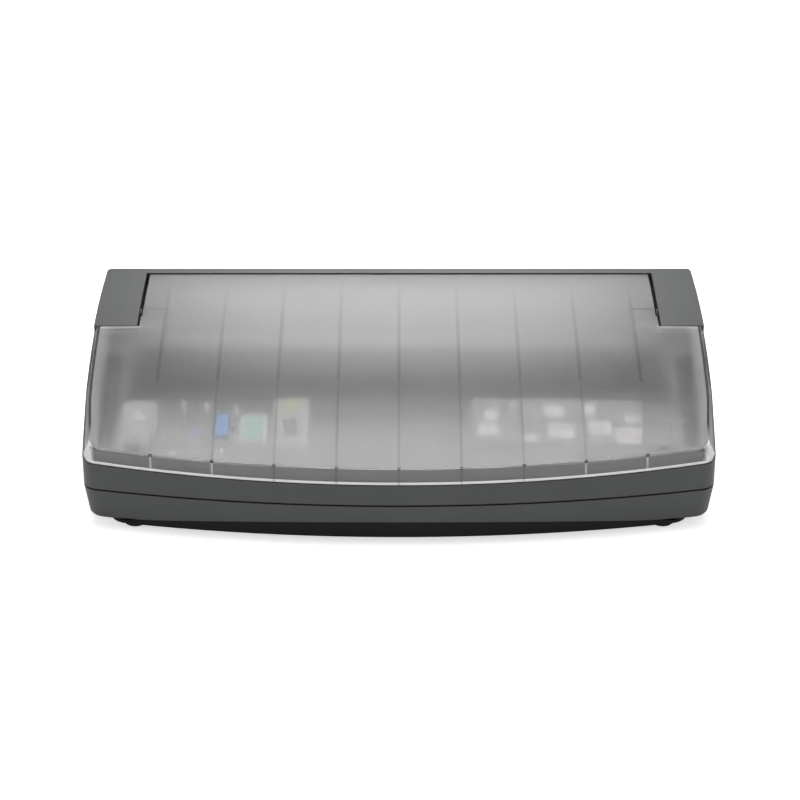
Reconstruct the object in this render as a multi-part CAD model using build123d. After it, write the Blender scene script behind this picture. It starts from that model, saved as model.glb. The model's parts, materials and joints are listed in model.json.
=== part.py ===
from build123d import *
import os
from functools import lru_cache
from math import atan2, cos, degrees, radians, sin, sqrt

# A thermal binding machine: a low grey case with a bowed front, a frosted hinged cover
# and, under the cover, a sloping deck with a heated slot for the spines of the covers.
# Millimetres. +Z is up, the front faces -Y, +X is to the right seen from the front.
# The origin is on the table, under the middle of the machine.

# ---------------------------------------------------------------- case
case_width = 440.0
case_depth = 232.0
half_width = case_width / 2
case_front = -case_depth / 2
case_rear = case_depth / 2
bow_radius = 921.0  # plan radius of the bowed front
side_bow_radius = 2840.0  # plan radius of the slightly bowed sides
side_bow_y = 33.5  # where the case is widest
front_corner_radius = 12.0
rear_corner_radius = 3.5
case_wall = 2.8
foot_height = 5.0
foot_radius = 8.25
foot_inset = 36.8
foot_x = half_width - foot_inset
foot_front_y = case_front + 35.0
foot_rear_y = case_rear - 28.0
parting_height = 31.0
parting_gap = 0.8
tongue_height = 3.0
tongue_wall = 1.2

# lower case: drafted walls, rounded lower edge, front edge arched over the pan
lower_bottom = 7.0
lower_side_draft = 3.3
lower_front_draft = 2.8
lower_edge_radius = 5.0
lower_rear_corner_radius = 6.0
arch_height = 17.7

# bottom pan
pan_half_width = half_width - 17.5
pan_rear_y = case_rear - 16.0
arch_half_width = pan_half_width - 2.5
pan_corner_radius = 15.0
pan_wall = 2.5
pan_setback = 0.5  # pan front behind the lower case's front face
pan_gap = 0.4
pan_lip_height = 24.0
vent_count = 9
vent_pitch = 12.0
vent_length = 34.0
vent_width = 3.0

# ---------------------------------------------------------------- cover
shoulder_rear_height = 108.0  # the machine's full height
crown_top_y = case_rear - 4.0  # where the arched top runs level
crown_top_height = shoulder_rear_height - 1.1
crease_setback = 3.0  # crease behind the case's front
crease_height_middle = 58.1
crease_height_end = 62.2
lip_height = 12.0
lip_setback = 1.0
side_skirt = 5.0  # depth of the cover's sides from skirt_start_y back
skirt_start_y = -35.0
skirt_front_inset = 3.0
side_lean = 24.0  # degrees
cover_side_gap = 0.5
cover_wall = 2.5
seam_gap = 0.5
shoulder_front_y = 30.0
cover_rear_y = shoulder_front_y - 1.0  # rear edge of the wide part
shoulder_inner_x = half_width - 31.0
tail_half_width = shoulder_inner_x - 2.8
rear_strip_y = case_rear - 7.6
tail_rear_y = rear_strip_y - 1.2
neck_half_width = shoulder_inner_x - 1.8
neck_rear_y = shoulder_front_y + 12.0

# ribs under the cover
rib_count = 9
rib_pitch = 2 * (tail_half_width - 17.0) / (rib_count - 1)
rib_thickness = 1.2
rib_depth = 6.0
rib_front_depth = 1.5
rib_step_y = -33.0
rib_rear_y = tail_rear_y - 14.0

# hinge
hinge_y = shoulder_front_y + 25.0
hinge_height = shoulder_rear_height - 12.5
pin_radius = 2.5
pin_running_gap = 0.05
pin_inner_x = tail_half_width - 14.2
bush_outer_x = shoulder_inner_x + 10.0
pin_outer_x = bush_outer_x - 1.0
boss_radius = 6.0
boss_outer_x = tail_half_width - 0.7
gusset_x = tail_half_width - 7.7
gusset_front_y = hinge_y - 22.0
gusset_rear_y = hinge_y + 6.0
bush_radius = 4.2
bush_flange_radius = 6.0
bush_flange = 1.6
bush_boss_wall = 3.0

# ---------------------------------------------------------------- shoulders and rear strip
shoulder_front_height = shoulder_rear_height - 8.3
shoulder_middle_height = shoulder_rear_height - 2.8
shoulder_wall_bottom = 34.0

# ---------------------------------------------------------------- deck
ledge_width = 8.0
ledge_thickness = 2.5
deck_gap = 0.4
deck_drop = 12.0  # below the cover's outer surface
deck_wall = 2.5
rim_drop = 5.5
rim_wall = 2.0
deck_side_rear_y = shoulder_front_y - 0.7
deck_rear_y = shoulder_front_y + 6.0
gutter_inner_x = half_width - 23.0
gutter_front_y = case_front + 38.0
gutter_rear_y = 12.0
gutter_depth = 10.0
post_radius = 4.0
post_bore_radius = 1.5
post_front_x = half_width - 60.0
post_front_y = case_front + 32.0
post_rear_x = half_width - 70.0
post_rear_y = 28.0

# trough that the cover's tail swings through
trough_gap = 2.6
trough_wall = 2.0
trough_front_y = deck_rear_y + 2.3
trough_rear_y = rear_strip_y + 1.6
trough_front_top = shoulder_rear_height - 22.0
trough_rear_top = shoulder_rear_height - 3.5
trough_end_gap = 0.4

# ---------------------------------------------------------------- binding well and heater
slot_half_length = shoulder_inner_x - 4.0
slot_front_y = -30.0
slot_rear_y = 16.0
liner_wall = 2.0
liner_flange = 4.0
liner_flange_thickness = 1.2
liner_bottom = 40.0
liner_gap = 0.3
plate_top = 47.0
plate_thickness = 3.0
plate_gap = 0.4
element_thickness = 1.2
insulation_thickness = 8.0
tray_wall = 1.5
tray_half_length = slot_half_length - 20.0
tray_post_x = tray_half_length - 25.0
tray_post_radius = 6.0
thermostat_x = slot_half_length - 8.0
thermostat_radius = 7.0
thermostat_height = 9.0
thermostat_tab_width = 2.0
thermostat_tab_thickness = 0.8
thermostat_tab_length = 6.0
fuse_radius = 2.0
fuse_length = 18.0
sensor_x = 6.5 - slot_half_length
sensor_size = 7.0
fuse_x = 14.5 - slot_half_length

# ---------------------------------------------------------------- controls on the deck
panel_x = 120.0 - half_width
panel_y = -62.0
mode_key_x = panel_x - 22.5
mode_key_y = -63.0
mode_key_width = 9.0
start_key_x = panel_x - 0.7
start_key_y = -65.0
start_key_width = 12.7
key_length = 20.0
key_corner_radius = 2.0
key_height = 1.8
key_travel = 1.0
key_gap = 0.35
key_flange = 1.2
key_sink = 1.3  # flange below the deck's underside
key_flange_thickness = 1.0
stem_radius = 1.6
bezel_border = 2.4
bezel_thickness = 0.8
lamp_x = panel_x + 25.0
lamp_y = -44.0
lamp_width = 9.0
lamp_length = 13.0
lamp_rise = 0.8
led_radius = 2.5
led_height = 4.5
led_dome_radius = 2.0
label_thickness = 0.5
control_label_width = 25.0
control_label_front_y = -84.0
label_rear_y = -38.0
guide_label_outer_x = half_width - 51.0
guide_label_inner_x = guide_label_outer_x - 119.0
guide_label_front_y = -79.0
notice_label_outer_x = 27.0 - half_width
notice_label_inner_x = notice_label_outer_x + 25.0
notice_label_front_y = -74.0
label_corner_radius = 4.0
control_board_width = 92.0
control_board_length = 50.0
board_thickness = 1.6
control_board_depth = 11.0  # under the deck's top surface
board_post_radius = 2.6
board_post_inset = 4.0
tact_size = 6.0
tact_height = 3.6
tact_bore_gap = 0.25
chip_width = 12.0
chip_height = 2.0

# ---------------------------------------------------------------- power board
power_board_outer_x = half_width - 70.0
power_board_inner_x = power_board_outer_x - 120.0
power_board_front_y = case_front + 30.0
power_board_rear_y = power_board_front_y + 46.0
power_board_height = 16.0
standoff_radius = 3.5
standoff_inset = 5.0
transformer_size = (30.0, 26.0, 22.0)
relay_size = (19.0, 15.0, 15.0)
terminal_size = (16.0, 9.0, 12.0)
capacitor_radius = 6.0
capacitor_height = 16.0
capacitor_edge = 0.75
capacitor_gap = 4.8
heat_sink_size = (16.0, 24.0)
fin_count = 5
fin_thickness = 1.5
fin_height = 15.0

# ---------------------------------------------------------------- rear socket and switch
pocket_outer_x = half_width - 60.0
pocket_inner_x = pocket_outer_x - 72.0
pocket_bottom = 33.0
pocket_top = 51.0
pocket_depth = 4.5
pocket_wall = 2.8
socket_x = pocket_outer_x - 20.0
socket_height = 42.0
socket_flange = (29.0, 16.0, 2.0)
socket_body = (22.0, 12.5, 18.0)
socket_lobe_radius = 4.1
socket_lobe_spacing = 7.0
socket_recess = 13.0
socket_corner_radius = 2.0
socket_waist = 6.56
contact_radius = 1.2
contact_spacing = 8.6
contact_length = 10.0
contact_tail = 6.0
switch_x = pocket_inner_x + 18.0
switch_bezel = (21.0, 15.0, 1.5)
switch_body = (18.6, 12.6, 12.0)
switch_rear_wall = 2.0
rocker_length = 15.4
rocker_width = 9.4
rocker_gap = 0.4
rocker_angle = 10.0
rocker_pivot_depth = 3.0
rocker_pivot_radius = 1.25
rocker_pivot_length = 11.2
rocker_pivot_end_gap = 0.1
rocker_proud = 0.2
rocker_rear_length = 13.86
rocker_travel_room = 1.6
panel_clearance = 0.2

# ---------------------------------------------------------------- fasteners and leads
screw_radius = 1.5
screw_head_radius = 2.8
screw_head_height = 2.0
screw_bite = 10.0
column_radius = 4.2
column_x = half_width - 13.0
column_front_y = case_front + 54.0
column_rear_y = case_rear - 16.0
column_height = 44.0
lead_radius = 1.1
lead_spacing = 4.0
lead_bend_share = 0.45  # of the shorter run beside a bend
terminal_count = 4
lead_lane_x = slot_half_length - 5.0
heater_tab_length = 4.6
heater_tab_width = 5.0
heater_tab_spacing = 16.0
bumper_x = half_width - 38.0
bumper_radius = 4.0
bumper_gap = 0.1
rating_plate_size = (70.0, 36.0, 0.5)

# worked out from the sizes above
pan_floor = foot_height + pan_wall
lower_top = parting_height - parting_gap / 2
upper_bottom = parting_height + parting_gap / 2
plate_bottom = plate_top - plate_thickness
element_bottom = plate_bottom - element_thickness
tray_floor = element_bottom - insulation_thickness
tray_bottom = tray_floor - tray_wall
slot_middle_y = (slot_front_y + slot_rear_y) / 2
pocket_floor_y = case_rear - pocket_depth
room = 20.0  # how far cutting shapes run past the machine
overshoot = 2.0  # how far the arched forms run past the machine's sides
least_radius = 1.0  # smallest corner radius of an inner plan


# ---------------------------------------------------------------- shape helpers
def block(x, y, z):
    """A box between two limits on each axis."""
    size = [high - low for low, high in (x, y, z)]
    centre = [(high + low) / 2 for low, high in (x, y, z)]
    return Pos(*centre) * Box(*size)


def rod_z(radius, x, y, low, high):
    """An upright cylinder."""
    return Pos(x, y, (low + high) / 2) * Cylinder(radius, high - low)


def rod_x(radius, low, high, y, z):
    """A cylinder that lies across the machine."""
    return Pos((low + high) / 2, y, z) * Rot(0, 90, 0) * Cylinder(radius, high - low)


def rod_y(radius, x, low, high, z):
    """A cylinder that lies from front to rear."""
    return Pos(x, (low + high) / 2, z) * Rot(90, 0, 0) * Cylinder(radius, high - low)


def both_sides(piece):
    """A piece and its mirror image on the other side of the machine."""
    return piece + mirror(piece, about=Plane.YZ)


def outline(half, front, rear, front_radius, rear_radius):
    """Plan face with a straight rear, bowed front and sides, and rounded corners."""
    plan = Pos(0, (front + rear) / 2) * Rectangle(2 * half + room, rear - front)
    plan &= Pos(0, front + bow_radius) * Circle(bow_radius)
    plan &= Pos(half - side_bow_radius, side_bow_y) * Rot(0, 0, 180) * Circle(side_bow_radius)
    plan &= Pos(side_bow_radius - half, side_bow_y) * Circle(side_bow_radius)
    plan = fillet(plan.vertices().sort_by(Axis.Y)[:2], front_radius)
    return fillet(plan.vertices().sort_by(Axis.Y)[-2:], rear_radius)


def case_outline(inset):
    """The case's plan, drawn in by a distance."""
    return outline(
        half_width - inset,
        case_front + inset,
        case_rear - inset,
        max(front_corner_radius - inset, least_radius),
        max(rear_corner_radius - inset, least_radius),
    )


def case_prism(inset, low, high):
    """The case's plan, drawn in by a distance and extruded between two heights."""
    return Pos(0, 0, low) * extrude(case_outline(inset), high - low)


def drafted(low_plan, low, high_plan, high):
    """A solid whose plan changes steadily between two heights."""
    return loft([Pos(0, 0, low) * low_plan.face(), Pos(0, 0, high) * high_plan.face()], ruled=True)


def front_y(x):
    """Where the bowed front lies at x."""
    return case_front + bow_radius - sqrt(bow_radius**2 - x**2)


def side_x(y):
    """Where the bowed side lies at y."""
    return half_width - side_bow_radius + sqrt(side_bow_radius**2 - (y - side_bow_y) ** 2)


def crease_height(x):
    """Height of the crease between the cover's top and its front lip."""
    return crease_height_middle + (crease_height_end - crease_height_middle) * (x / half_width) ** 2


def crown_arc(x):
    """Radius and centre height of the arched top's section at x."""
    reach = crown_top_y - front_y(x) - crease_setback
    fall = crown_top_height - crease_height(x)
    radius = (reach**2 + fall**2) / (2 * fall)
    return radius, crown_top_height - radius


def crown_height(x, y, drop):
    """Height of the arched surface, lowered by a drop, over a point in plan."""
    radius, centre = crown_arc(x)
    return centre + sqrt((radius - drop) ** 2 - min(y - crown_top_y, 0.0) ** 2)


@lru_cache(maxsize=None)
def crown(drop):
    """All the space under the arched top, lowered by a drop."""
    start_y = case_front - room
    middle_y = (start_y + crown_top_y) / 2
    end_y = case_rear + room
    sections = []
    for step in range(-2, 3):
        x = step * (half_width + overshoot) / 2
        top = crown_height(x, crown_top_y, drop)
        arc = ThreePointArc(
            (start_y, crown_height(x, start_y, drop)),
            (middle_y, crown_height(x, middle_y, drop)),
            (crown_top_y, top),
        )
        rest = Polyline(
            (crown_top_y, top),
            (end_y, top),
            (end_y, -room),
            (start_y, -room),
            (start_y, crown_height(x, start_y, drop)),
        )
        sections.append((Plane.YZ.offset(x) * make_face(arc + rest)).face())
    return loft(sections)


def seam_height(x):
    """Height of the cover's lower edge along the front."""
    return crease_height(x) - lip_height


@lru_cache(maxsize=None)
def below_seam(raise_by):
    """Space under the cover's lower edge: level along the front, rising along the sides."""
    reach = half_width + overshoot
    ends = seam_height(reach) + raise_by
    arc = ThreePointArc((-reach, ends), (0, seam_height(0) + raise_by), (reach, ends))
    rest = Polyline((reach, ends), (reach, -room), (-reach, -room), (-reach, ends))
    front = Plane.XZ * make_face(arc + rest)
    front = extrude(front, case_depth / 2 + room, both=True)
    corner_y = front_y(half_width) + skirt_front_inset
    corner_z = seam_height(half_width) + raise_by
    start_z = crown_height(half_width, skirt_start_y, side_skirt) + raise_by
    slope = (start_z - corner_z) / (skirt_start_y - corner_y)
    low_y = case_front - room
    side = Polyline(
        (low_y, corner_z + slope * (low_y - corner_y)),
        (skirt_start_y, start_z),
        (skirt_start_y, shoulder_rear_height + room),
        (case_rear + room, shoulder_rear_height + room),
        (case_rear + room, -room),
        (low_y, -room),
        close=True,
    )
    side = extrude(Plane.YZ * make_face(side), reach, both=True)
    return front + (side & crown(side_skirt - raise_by))


# ---------------------------------------------------------------- bottom pan and lower case
def front_draft(height):
    """How far the lower case's front has leaned in at a height."""
    return lower_front_draft * (parting_height - height) / (parting_height - lower_bottom)


def pan_plan(inset, height):
    """The pan's plan at a height, drawn in by a distance."""
    return outline(
        pan_half_width - inset,
        case_front + front_draft(height) + pan_setback + inset,
        pan_rear_y - inset,
        pan_corner_radius - inset,
        pan_corner_radius - inset,
    )


def pan_block(inset, low, high):
    """The pan's outer form, drawn in by a distance."""
    return drafted(pan_plan(inset, low), low, pan_plan(inset, high), high)


def below_arch(shift):
    """Space under the arch of the lower case's front edge."""
    rise = arch_height - lower_bottom
    radius = (arch_half_width**2 + rise**2) / (2 * rise)
    arch = rod_y(radius, 0, case_front - room, case_rear + room, arch_height + shift - radius)
    reach = pan_half_width + pan_gap
    return arch & block((-reach, reach), (case_front - room, case_rear + room), (-room, arch_height + room))


def screw_places():
    """Pan screws into the deck's posts, as x, y and sign pairs."""
    places = []
    for side in (-1, 1):
        places.append((side * post_front_x, post_front_y))
        places.append((side * post_rear_x, post_rear_y))
    return places


def standoff_places():
    """Corners of the power board's standoffs."""
    places = []
    for x in (power_board_inner_x + standoff_inset, power_board_outer_x - standoff_inset):
        for y in (power_board_front_y + standoff_inset, power_board_rear_y - standoff_inset):
            places.append((x, y))
    return places


def bottom_pan():
    """Black tray that closes the case from below and carries the heater and the power board."""
    pan = pan_block(0, foot_height, arch_height)
    reach_x, reach_y = (-half_width, half_width), (case_front, case_rear)
    floor_level = block(reach_x, reach_y, (foot_height, pan_floor))
    pan -= pan_block(pan_wall, foot_height, arch_height) - floor_level
    pan &= below_arch(-pan_gap) + floor_level
    lip_inset = case_wall + pan_gap
    lip = pan_block(lip_inset, foot_height, pan_lip_height)
    lip -= pan_block(lip_inset + pan_wall, foot_height, pan_lip_height)
    pan += lip
    for side in (-1, 1):
        pan += rod_z(tray_post_radius, side * tray_post_x, slot_middle_y, pan_floor, tray_bottom)
    for x, y in standoff_places():
        pan += rod_z(standoff_radius, x, y, pan_floor, power_board_height)
        pan -= rod_z(screw_radius, x, y, pan_floor, power_board_height)
    for x, y in screw_places():
        pan -= rod_z(screw_radius, x, y, foot_height, pan_floor)
        pan -= rod_z(screw_head_radius, x, y, foot_height, foot_height + screw_head_height)
    for index in range(vent_count):
        y = vent_pitch * (index - (vent_count - 1) / 2)
        slot = SlotOverall(vent_length, vent_width)
        for side in (-1, 1):
            place = Pos(side * tray_half_length / 2, slot_middle_y + y, foot_height)
            pan -= place * extrude(slot, pan_wall)
    for x, y in foot_places():
        pan -= rod_z(screw_radius, x, y, foot_height, pan_floor)
    length, width, thickness = rating_plate_size
    pan -= block((-length / 2, length / 2), (-width / 2, width / 2), (foot_height, foot_height + thickness))
    return pan


def foot_places():
    """Centres of the four feet."""
    return [(side * foot_x, y) for side in (-1, 1) for y in (foot_front_y, foot_rear_y)]


def feet():
    """Four rubber feet, each pressed into the pan by its stud."""
    group = []
    for x, y in foot_places():
        disc = rod_z(foot_radius, x, y, 0, foot_height)
        disc = chamfer(disc.faces().sort_by(Axis.Z)[0].edges(), foot_height / 5)
        group.append(disc + rod_z(screw_radius, x, y, foot_height, pan_floor))
    return group


def lower_block(inset, low):
    """The lower case's outer form, drawn in by a distance."""
    radius = max(front_corner_radius - inset, 2 * least_radius)
    rear_radius = max(lower_rear_corner_radius - inset, 2 * least_radius)
    low_plan = outline(
        half_width - lower_side_draft - inset,
        case_front + lower_front_draft + inset,
        case_rear - lower_front_draft - inset,
        radius,
        rear_radius,
    )
    return drafted(low_plan, low, case_outline(inset), lower_top)


def column_places():
    """Screw columns in the four corners of the upper case."""
    return [(side * column_x, y) for side in (-1, 1) for y in (column_front_y, column_rear_y)]


def lower_case():
    """Grey lower shell with drafted sides, open at the bottom for the pan."""
    shell = lower_block(0, lower_bottom)
    shell = fillet(shell.faces().sort_by(Axis.Z)[0].edges(), lower_edge_radius)
    flange_top = lower_bottom + case_wall
    shell -= lower_block(case_wall, flange_top)
    opening = pan_plan(-pan_gap, foot_height)
    shell -= Pos(0, 0, lower_bottom) * extrude(opening, case_wall)
    front = block((-half_width, half_width), (case_front - room, foot_front_y), (0, arch_height + room))
    shell -= below_arch(0) & front
    tongue = case_prism(case_wall - tongue_wall, lower_top, lower_top + tongue_height)
    tongue -= case_prism(case_wall, lower_top, lower_top + tongue_height)
    shell += tongue
    for x, y in column_places():
        shell -= rod_z(screw_radius, x, y, lower_bottom, flange_top)
        shell -= rod_z(screw_head_radius, x, y, 0, lower_bottom + screw_head_height / 2)
    return shell


# ---------------------------------------------------------------- upper case
def shoulder_top(drop):
    """All the space under the shoulders' gently arched top, lowered by a drop."""
    middle_y = (shoulder_front_y + case_rear) / 2
    arc = ThreePointArc(
        (shoulder_front_y, shoulder_front_height - drop),
        (middle_y, shoulder_middle_height - drop),
        (case_rear, shoulder_rear_height - drop),
    )
    rest = Polyline(
        (case_rear, shoulder_rear_height - drop),
        (case_rear, -room),
        (shoulder_front_y, -room),
        (shoulder_front_y, shoulder_front_height - drop),
    )
    return extrude(Plane.YZ * make_face(arc + rest), half_width + overshoot, both=True)


def shoulder():
    """The right-hand shoulder: a hollow box open at the bottom."""
    top = shoulder_rear_height + room
    plan = block((shoulder_inner_x, half_width), (shoulder_front_y, case_rear), (upper_bottom, top))
    outer = plan & case_prism(0, upper_bottom, top) & shoulder_top(0)
    inner_x = shoulder_inner_x + case_wall
    inner_y = shoulder_front_y + case_wall
    hollow = block((inner_x, half_width), (inner_y, case_rear), (upper_bottom, top))
    hollow &= case_prism(case_wall, upper_bottom, top) & shoulder_top(case_wall)
    box = outer - hollow
    low = (upper_bottom, shoulder_wall_bottom)
    cut = block((shoulder_inner_x, half_width), (shoulder_front_y, case_rear - case_wall), low)
    box -= cut & case_prism(case_wall, upper_bottom, shoulder_wall_bottom)
    bore = bush_radius
    boss = rod_x(bore + bush_boss_wall, shoulder_inner_x, bush_outer_x + case_wall, hinge_y, hinge_height)
    boss &= outer
    box += boss
    return box - rod_x(bore, shoulder_inner_x - 1, bush_outer_x, hinge_y, hinge_height)


def rear_strip():
    """Rear wall with the strip that closes the gap behind the cover's tail."""
    top = shoulder_rear_height + room
    reach = shoulder_inner_x + case_wall
    strip = block((-reach, reach), (rear_strip_y, case_rear), (upper_bottom, top)) & shoulder_top(0)
    hollow = block((-reach, reach), (rear_strip_y, case_rear - case_wall), (upper_bottom, top))
    return strip - (hollow & shoulder_top(case_wall))


def front_band():
    """Front and side walls with the ledge that the deck drops into."""
    top = crown_top_height
    band = case_prism(0, upper_bottom, top) & below_seam(0)
    band &= block((-half_width, half_width), (case_front, shoulder_front_y), (upper_bottom, top))
    band -= case_prism(case_wall, 0, top) & below_seam(-ledge_thickness)
    band -= case_prism(ledge_width, 0, top)
    return band


def rear_pocket():
    """Pad inside the rear wall that carries the socket and the switch."""
    span = (pocket_inner_x - pocket_wall, pocket_outer_x + pocket_wall)
    return block(
        span,
        (pocket_floor_y - pocket_wall, case_rear - case_wall / 2),
        (upper_bottom, pocket_top + pocket_wall),
    )


def top_case():
    """Grey upper case: front band, side walls, shoulders and rear strip in one moulding."""
    case = front_band() + both_sides(shoulder()) + rear_strip() + rear_pocket()
    tongue_room = parting_gap / 2
    tongue_inset = case_wall - tongue_wall - tongue_room / 2
    groove = case_prism(tongue_inset, upper_bottom, lower_top + tongue_height + tongue_room)
    groove -= case_prism(case_wall + tongue_room, upper_bottom, lower_top + tongue_height + tongue_room)
    case -= groove
    case -= block(
        (pocket_inner_x, pocket_outer_x), (pocket_floor_y, case_rear + room), (pocket_bottom, pocket_top)
    )
    clear = 2 * panel_clearance
    case -= panel_hole(socket_x, socket_body[0] + clear, socket_body[1] + clear)
    case -= panel_hole(switch_x, switch_body[0] + clear, switch_body[1] + clear)
    flange_top = lower_bottom + case_wall
    for x, y in column_places():
        column = rod_z(column_radius, x, y, flange_top, column_height)
        web = block(
            sorted((x, (side_x(y) - case_wall / 2) * (1 if x > 0 else -1))),
            (y - case_wall / 4, y + case_wall / 4),
            (lower_top + tongue_height + parting_gap, column_height),
        )
        case += column + web
        case -= rod_z(screw_radius, x, y, flange_top, flange_top + screw_bite)
    return case


def panel_hole(x, width, height):
    """Cut-out through the floor of the rear pocket."""
    return block(
        (x - width / 2, x + width / 2),
        (pocket_floor_y - pocket_wall, pocket_floor_y),
        (socket_height - height / 2, socket_height + height / 2),
    )


# ---------------------------------------------------------------- cover
def cover_plan(inset, lean):
    """The cover's plan, drawn in by a distance, its front moved back by the lip's lean."""
    return outline(
        half_width - cover_side_gap - inset,
        case_front + lip_setback + inset + lean,
        cover_rear_y - inset,
        max(front_corner_radius - inset, least_radius),
        least_radius,
    )


def side_cut(inset):
    """Space outside the cover's leaning right-hand side."""
    cuts = []
    corner_y = front_y(half_width) + skirt_front_inset
    start_z = crown_height(half_width, skirt_start_y, side_skirt)
    rear_z = crown_height(half_width, cover_rear_y, side_skirt)
    spans = (
        (corner_y, seam_height(half_width), skirt_start_y, start_z),
        (skirt_start_y, start_z, cover_rear_y, rear_z),
    )
    gap = cover_side_gap + inset / cos(radians(side_lean))
    for y0, z0, y1, z1 in spans:
        x0, x1 = side_x(y0) - gap, side_x(y1) - gap
        turn = degrees(atan2(x0 - x1, y1 - y0))
        tilt = degrees(atan2(z1 - z0, y1 - y0))
        place = Pos(x0, y0, z0) * Rot(0, 0, turn) * Rot(tilt, 0, 0) * Rot(0, -side_lean, 0)
        cuts.append(place * block((0, case_depth), (-case_depth, case_depth), (-case_depth, case_depth)))
    return cuts


def cover_block(inset):
    """The cover's filled form, drawn in by a distance."""
    lean = (crease_setback - lip_setback) / lip_height
    low = seam_height(0) - lip_height
    high = crown_top_height + lip_height
    plan_low = cover_plan(inset, (low - seam_height(0)) * lean)
    plan_high = cover_plan(inset, (high - seam_height(0)) * lean)
    wide = drafted(plan_low, low, plan_high, high)
    for cut in side_cut(inset):
        wide -= cut
        wide -= mirror(cut, about=Plane.YZ)
    neck_x = neck_half_width - inset
    tail_x = tail_half_width - inset
    start = cover_rear_y - 3 * cover_wall
    form = wide + block((-neck_x, neck_x), (start, neck_rear_y - inset), (low, high))
    form += block((-tail_x, tail_x), (start, tail_rear_y - inset), (low, high))
    return form & crown(inset)


def rib_positions():
    """Where the ribs lie across the cover."""
    return [rib_pitch * (index - (rib_count - 1) / 2) for index in range(rib_count)]


def cover_ribs(inner):
    """Ribs under the cover: deep over the slot and the tail, shallow in front, down the lip."""
    deep = crown(cover_wall / 2) - crown(cover_wall + rib_depth)
    shallow = inner - cover_block(cover_wall + rib_front_depth) - below_seam(seam_gap)
    low = seam_height(0)
    high = crown_top_height
    strips = []
    for x in rib_positions():
        span = (x - rib_thickness / 2, x + rib_thickness / 2)
        strips.append(deep & block(span, (rib_step_y, rib_rear_y), (low, high)))
        strips.append(shallow & block(span, (case_front, rib_step_y), (low, high)))
    return strips


def hinge_boss():
    """Lug under the cover that holds the right-hand hinge pin."""
    inner_x = rib_positions()[-1]
    lug = rod_x(boss_radius, inner_x, boss_outer_x, hinge_y, hinge_height)
    half = rib_thickness / 2
    height = (crown_top_height - 3 * rib_depth, crown_top_height)
    web = block((gusset_x - half, gusset_x + half), (gusset_front_y, gusset_rear_y), height)
    web += block((inner_x, boss_outer_x), (neck_rear_y - rib_thickness, neck_rear_y), height)
    lug += web & (crown(cover_wall / 2) - crown(cover_wall + rib_depth))
    return lug - rod_x(pin_radius, pin_inner_x, boss_outer_x, hinge_y, hinge_height)


def cover():
    """Frosted cover: arched top, front lip, side skirts, narrow tail, ribs and hinge lugs."""
    inner = cover_block(cover_wall)
    shell = cover_block(0) - inner - below_seam(seam_gap)
    for strip in cover_ribs(inner):
        shell += strip
    shell += both_sides(hinge_boss())
    return shell


def hinge_pins():
    """Two steel pins, pressed into the cover's lugs and free in the bushes."""
    pin = rod_x(pin_radius, pin_inner_x, pin_outer_x, hinge_y, hinge_height)
    return both_sides(pin)


def hinge_bushes():
    """Two flanged bushes pressed into the shoulders."""
    bush = rod_x(bush_radius, shoulder_inner_x, bush_outer_x, hinge_y, hinge_height)
    flange_inner = shoulder_inner_x - bush_flange
    bush += rod_x(bush_flange_radius, flange_inner, shoulder_inner_x, hinge_y, hinge_height)
    bush -= rod_x(pin_radius + pin_running_gap, flange_inner, bush_outer_x, hinge_y, hinge_height)
    return both_sides(bush)


# ---------------------------------------------------------------- deck, trough and well
def deck_plan(inset):
    """The deck's plan as an upright prism, drawn in by a distance."""
    edge = ledge_width + deck_gap + inset
    top = crown_top_height
    wide = case_prism(edge, 0, top)
    wide &= block((-half_width, half_width), (case_front, deck_side_rear_y - inset), (0, top))
    reach = shoulder_inner_x - deck_gap - inset
    return wide + block((-reach, reach), (deck_side_rear_y - ledge_width, deck_rear_y - inset), (0, top))


def gutter(grow):
    """The two channels beside the deck, grown by a distance."""
    inner = gutter_inner_x - grow
    channel = block(
        (inner, half_width), (gutter_front_y - grow, gutter_rear_y + grow), (0, crown_top_height)
    )
    return both_sides(channel) - crown(deck_drop + gutter_depth + grow)


def deck():
    """Sloping inner panel with a rim, a gutter at each side, the slot's opening and four posts."""
    outer = (deck_plan(0) & crown(deck_drop)) - gutter(0)
    inner = (deck_plan(deck_wall) & crown(deck_drop + deck_wall)) - gutter(deck_wall)
    panel = outer - inner
    rim = deck_plan(0) & crown(rim_drop)
    rim -= deck_plan(rim_wall)
    rim -= crown(deck_drop)
    front_only = block(
        (-half_width, half_width), (case_front, deck_side_rear_y - rim_wall), (0, crown_top_height)
    )
    panel += rim & front_only
    skirt_cut = crown(deck_drop + deck_wall + gutter_depth)
    panel -= skirt_cut
    for x, y in screw_places():
        post = rod_z(post_radius, x, y, pan_floor, crown_top_height) & crown(deck_drop + deck_wall / 2)
        panel += post
        panel -= rod_z(post_bore_radius, x, y, pan_floor, pan_floor + screw_bite)
    for place in board_post_places():
        post = place * Pos(0, 0, -control_board_depth / 2) * Cylinder(board_post_radius, control_board_depth)
        panel += post & crown(deck_drop + deck_wall / 2)
    reach = slot_half_length + liner_wall + liner_gap
    front = slot_front_y - liner_wall - liner_gap
    rear = slot_rear_y + liner_wall + liner_gap
    panel -= block((-reach, reach), (front, rear), (0, crown_top_height))
    for x, y, width in key_places():
        panel -= key_hole(x, y, width)
    return panel - lamp_prism(deck_gap / 2, -deck_drop, deck_drop)


def swing(radius):
    """A cylinder about the hinge, as long as the trough."""
    reach = shoulder_inner_x - trough_end_gap
    return rod_x(radius, -reach, reach, hinge_y, hinge_height)


def tail_reach():
    """Distance from the hinge to the tail's upper rear corner."""
    return sqrt((tail_rear_y - hinge_y) ** 2 + (crown_top_height - hinge_height) ** 2)


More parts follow.
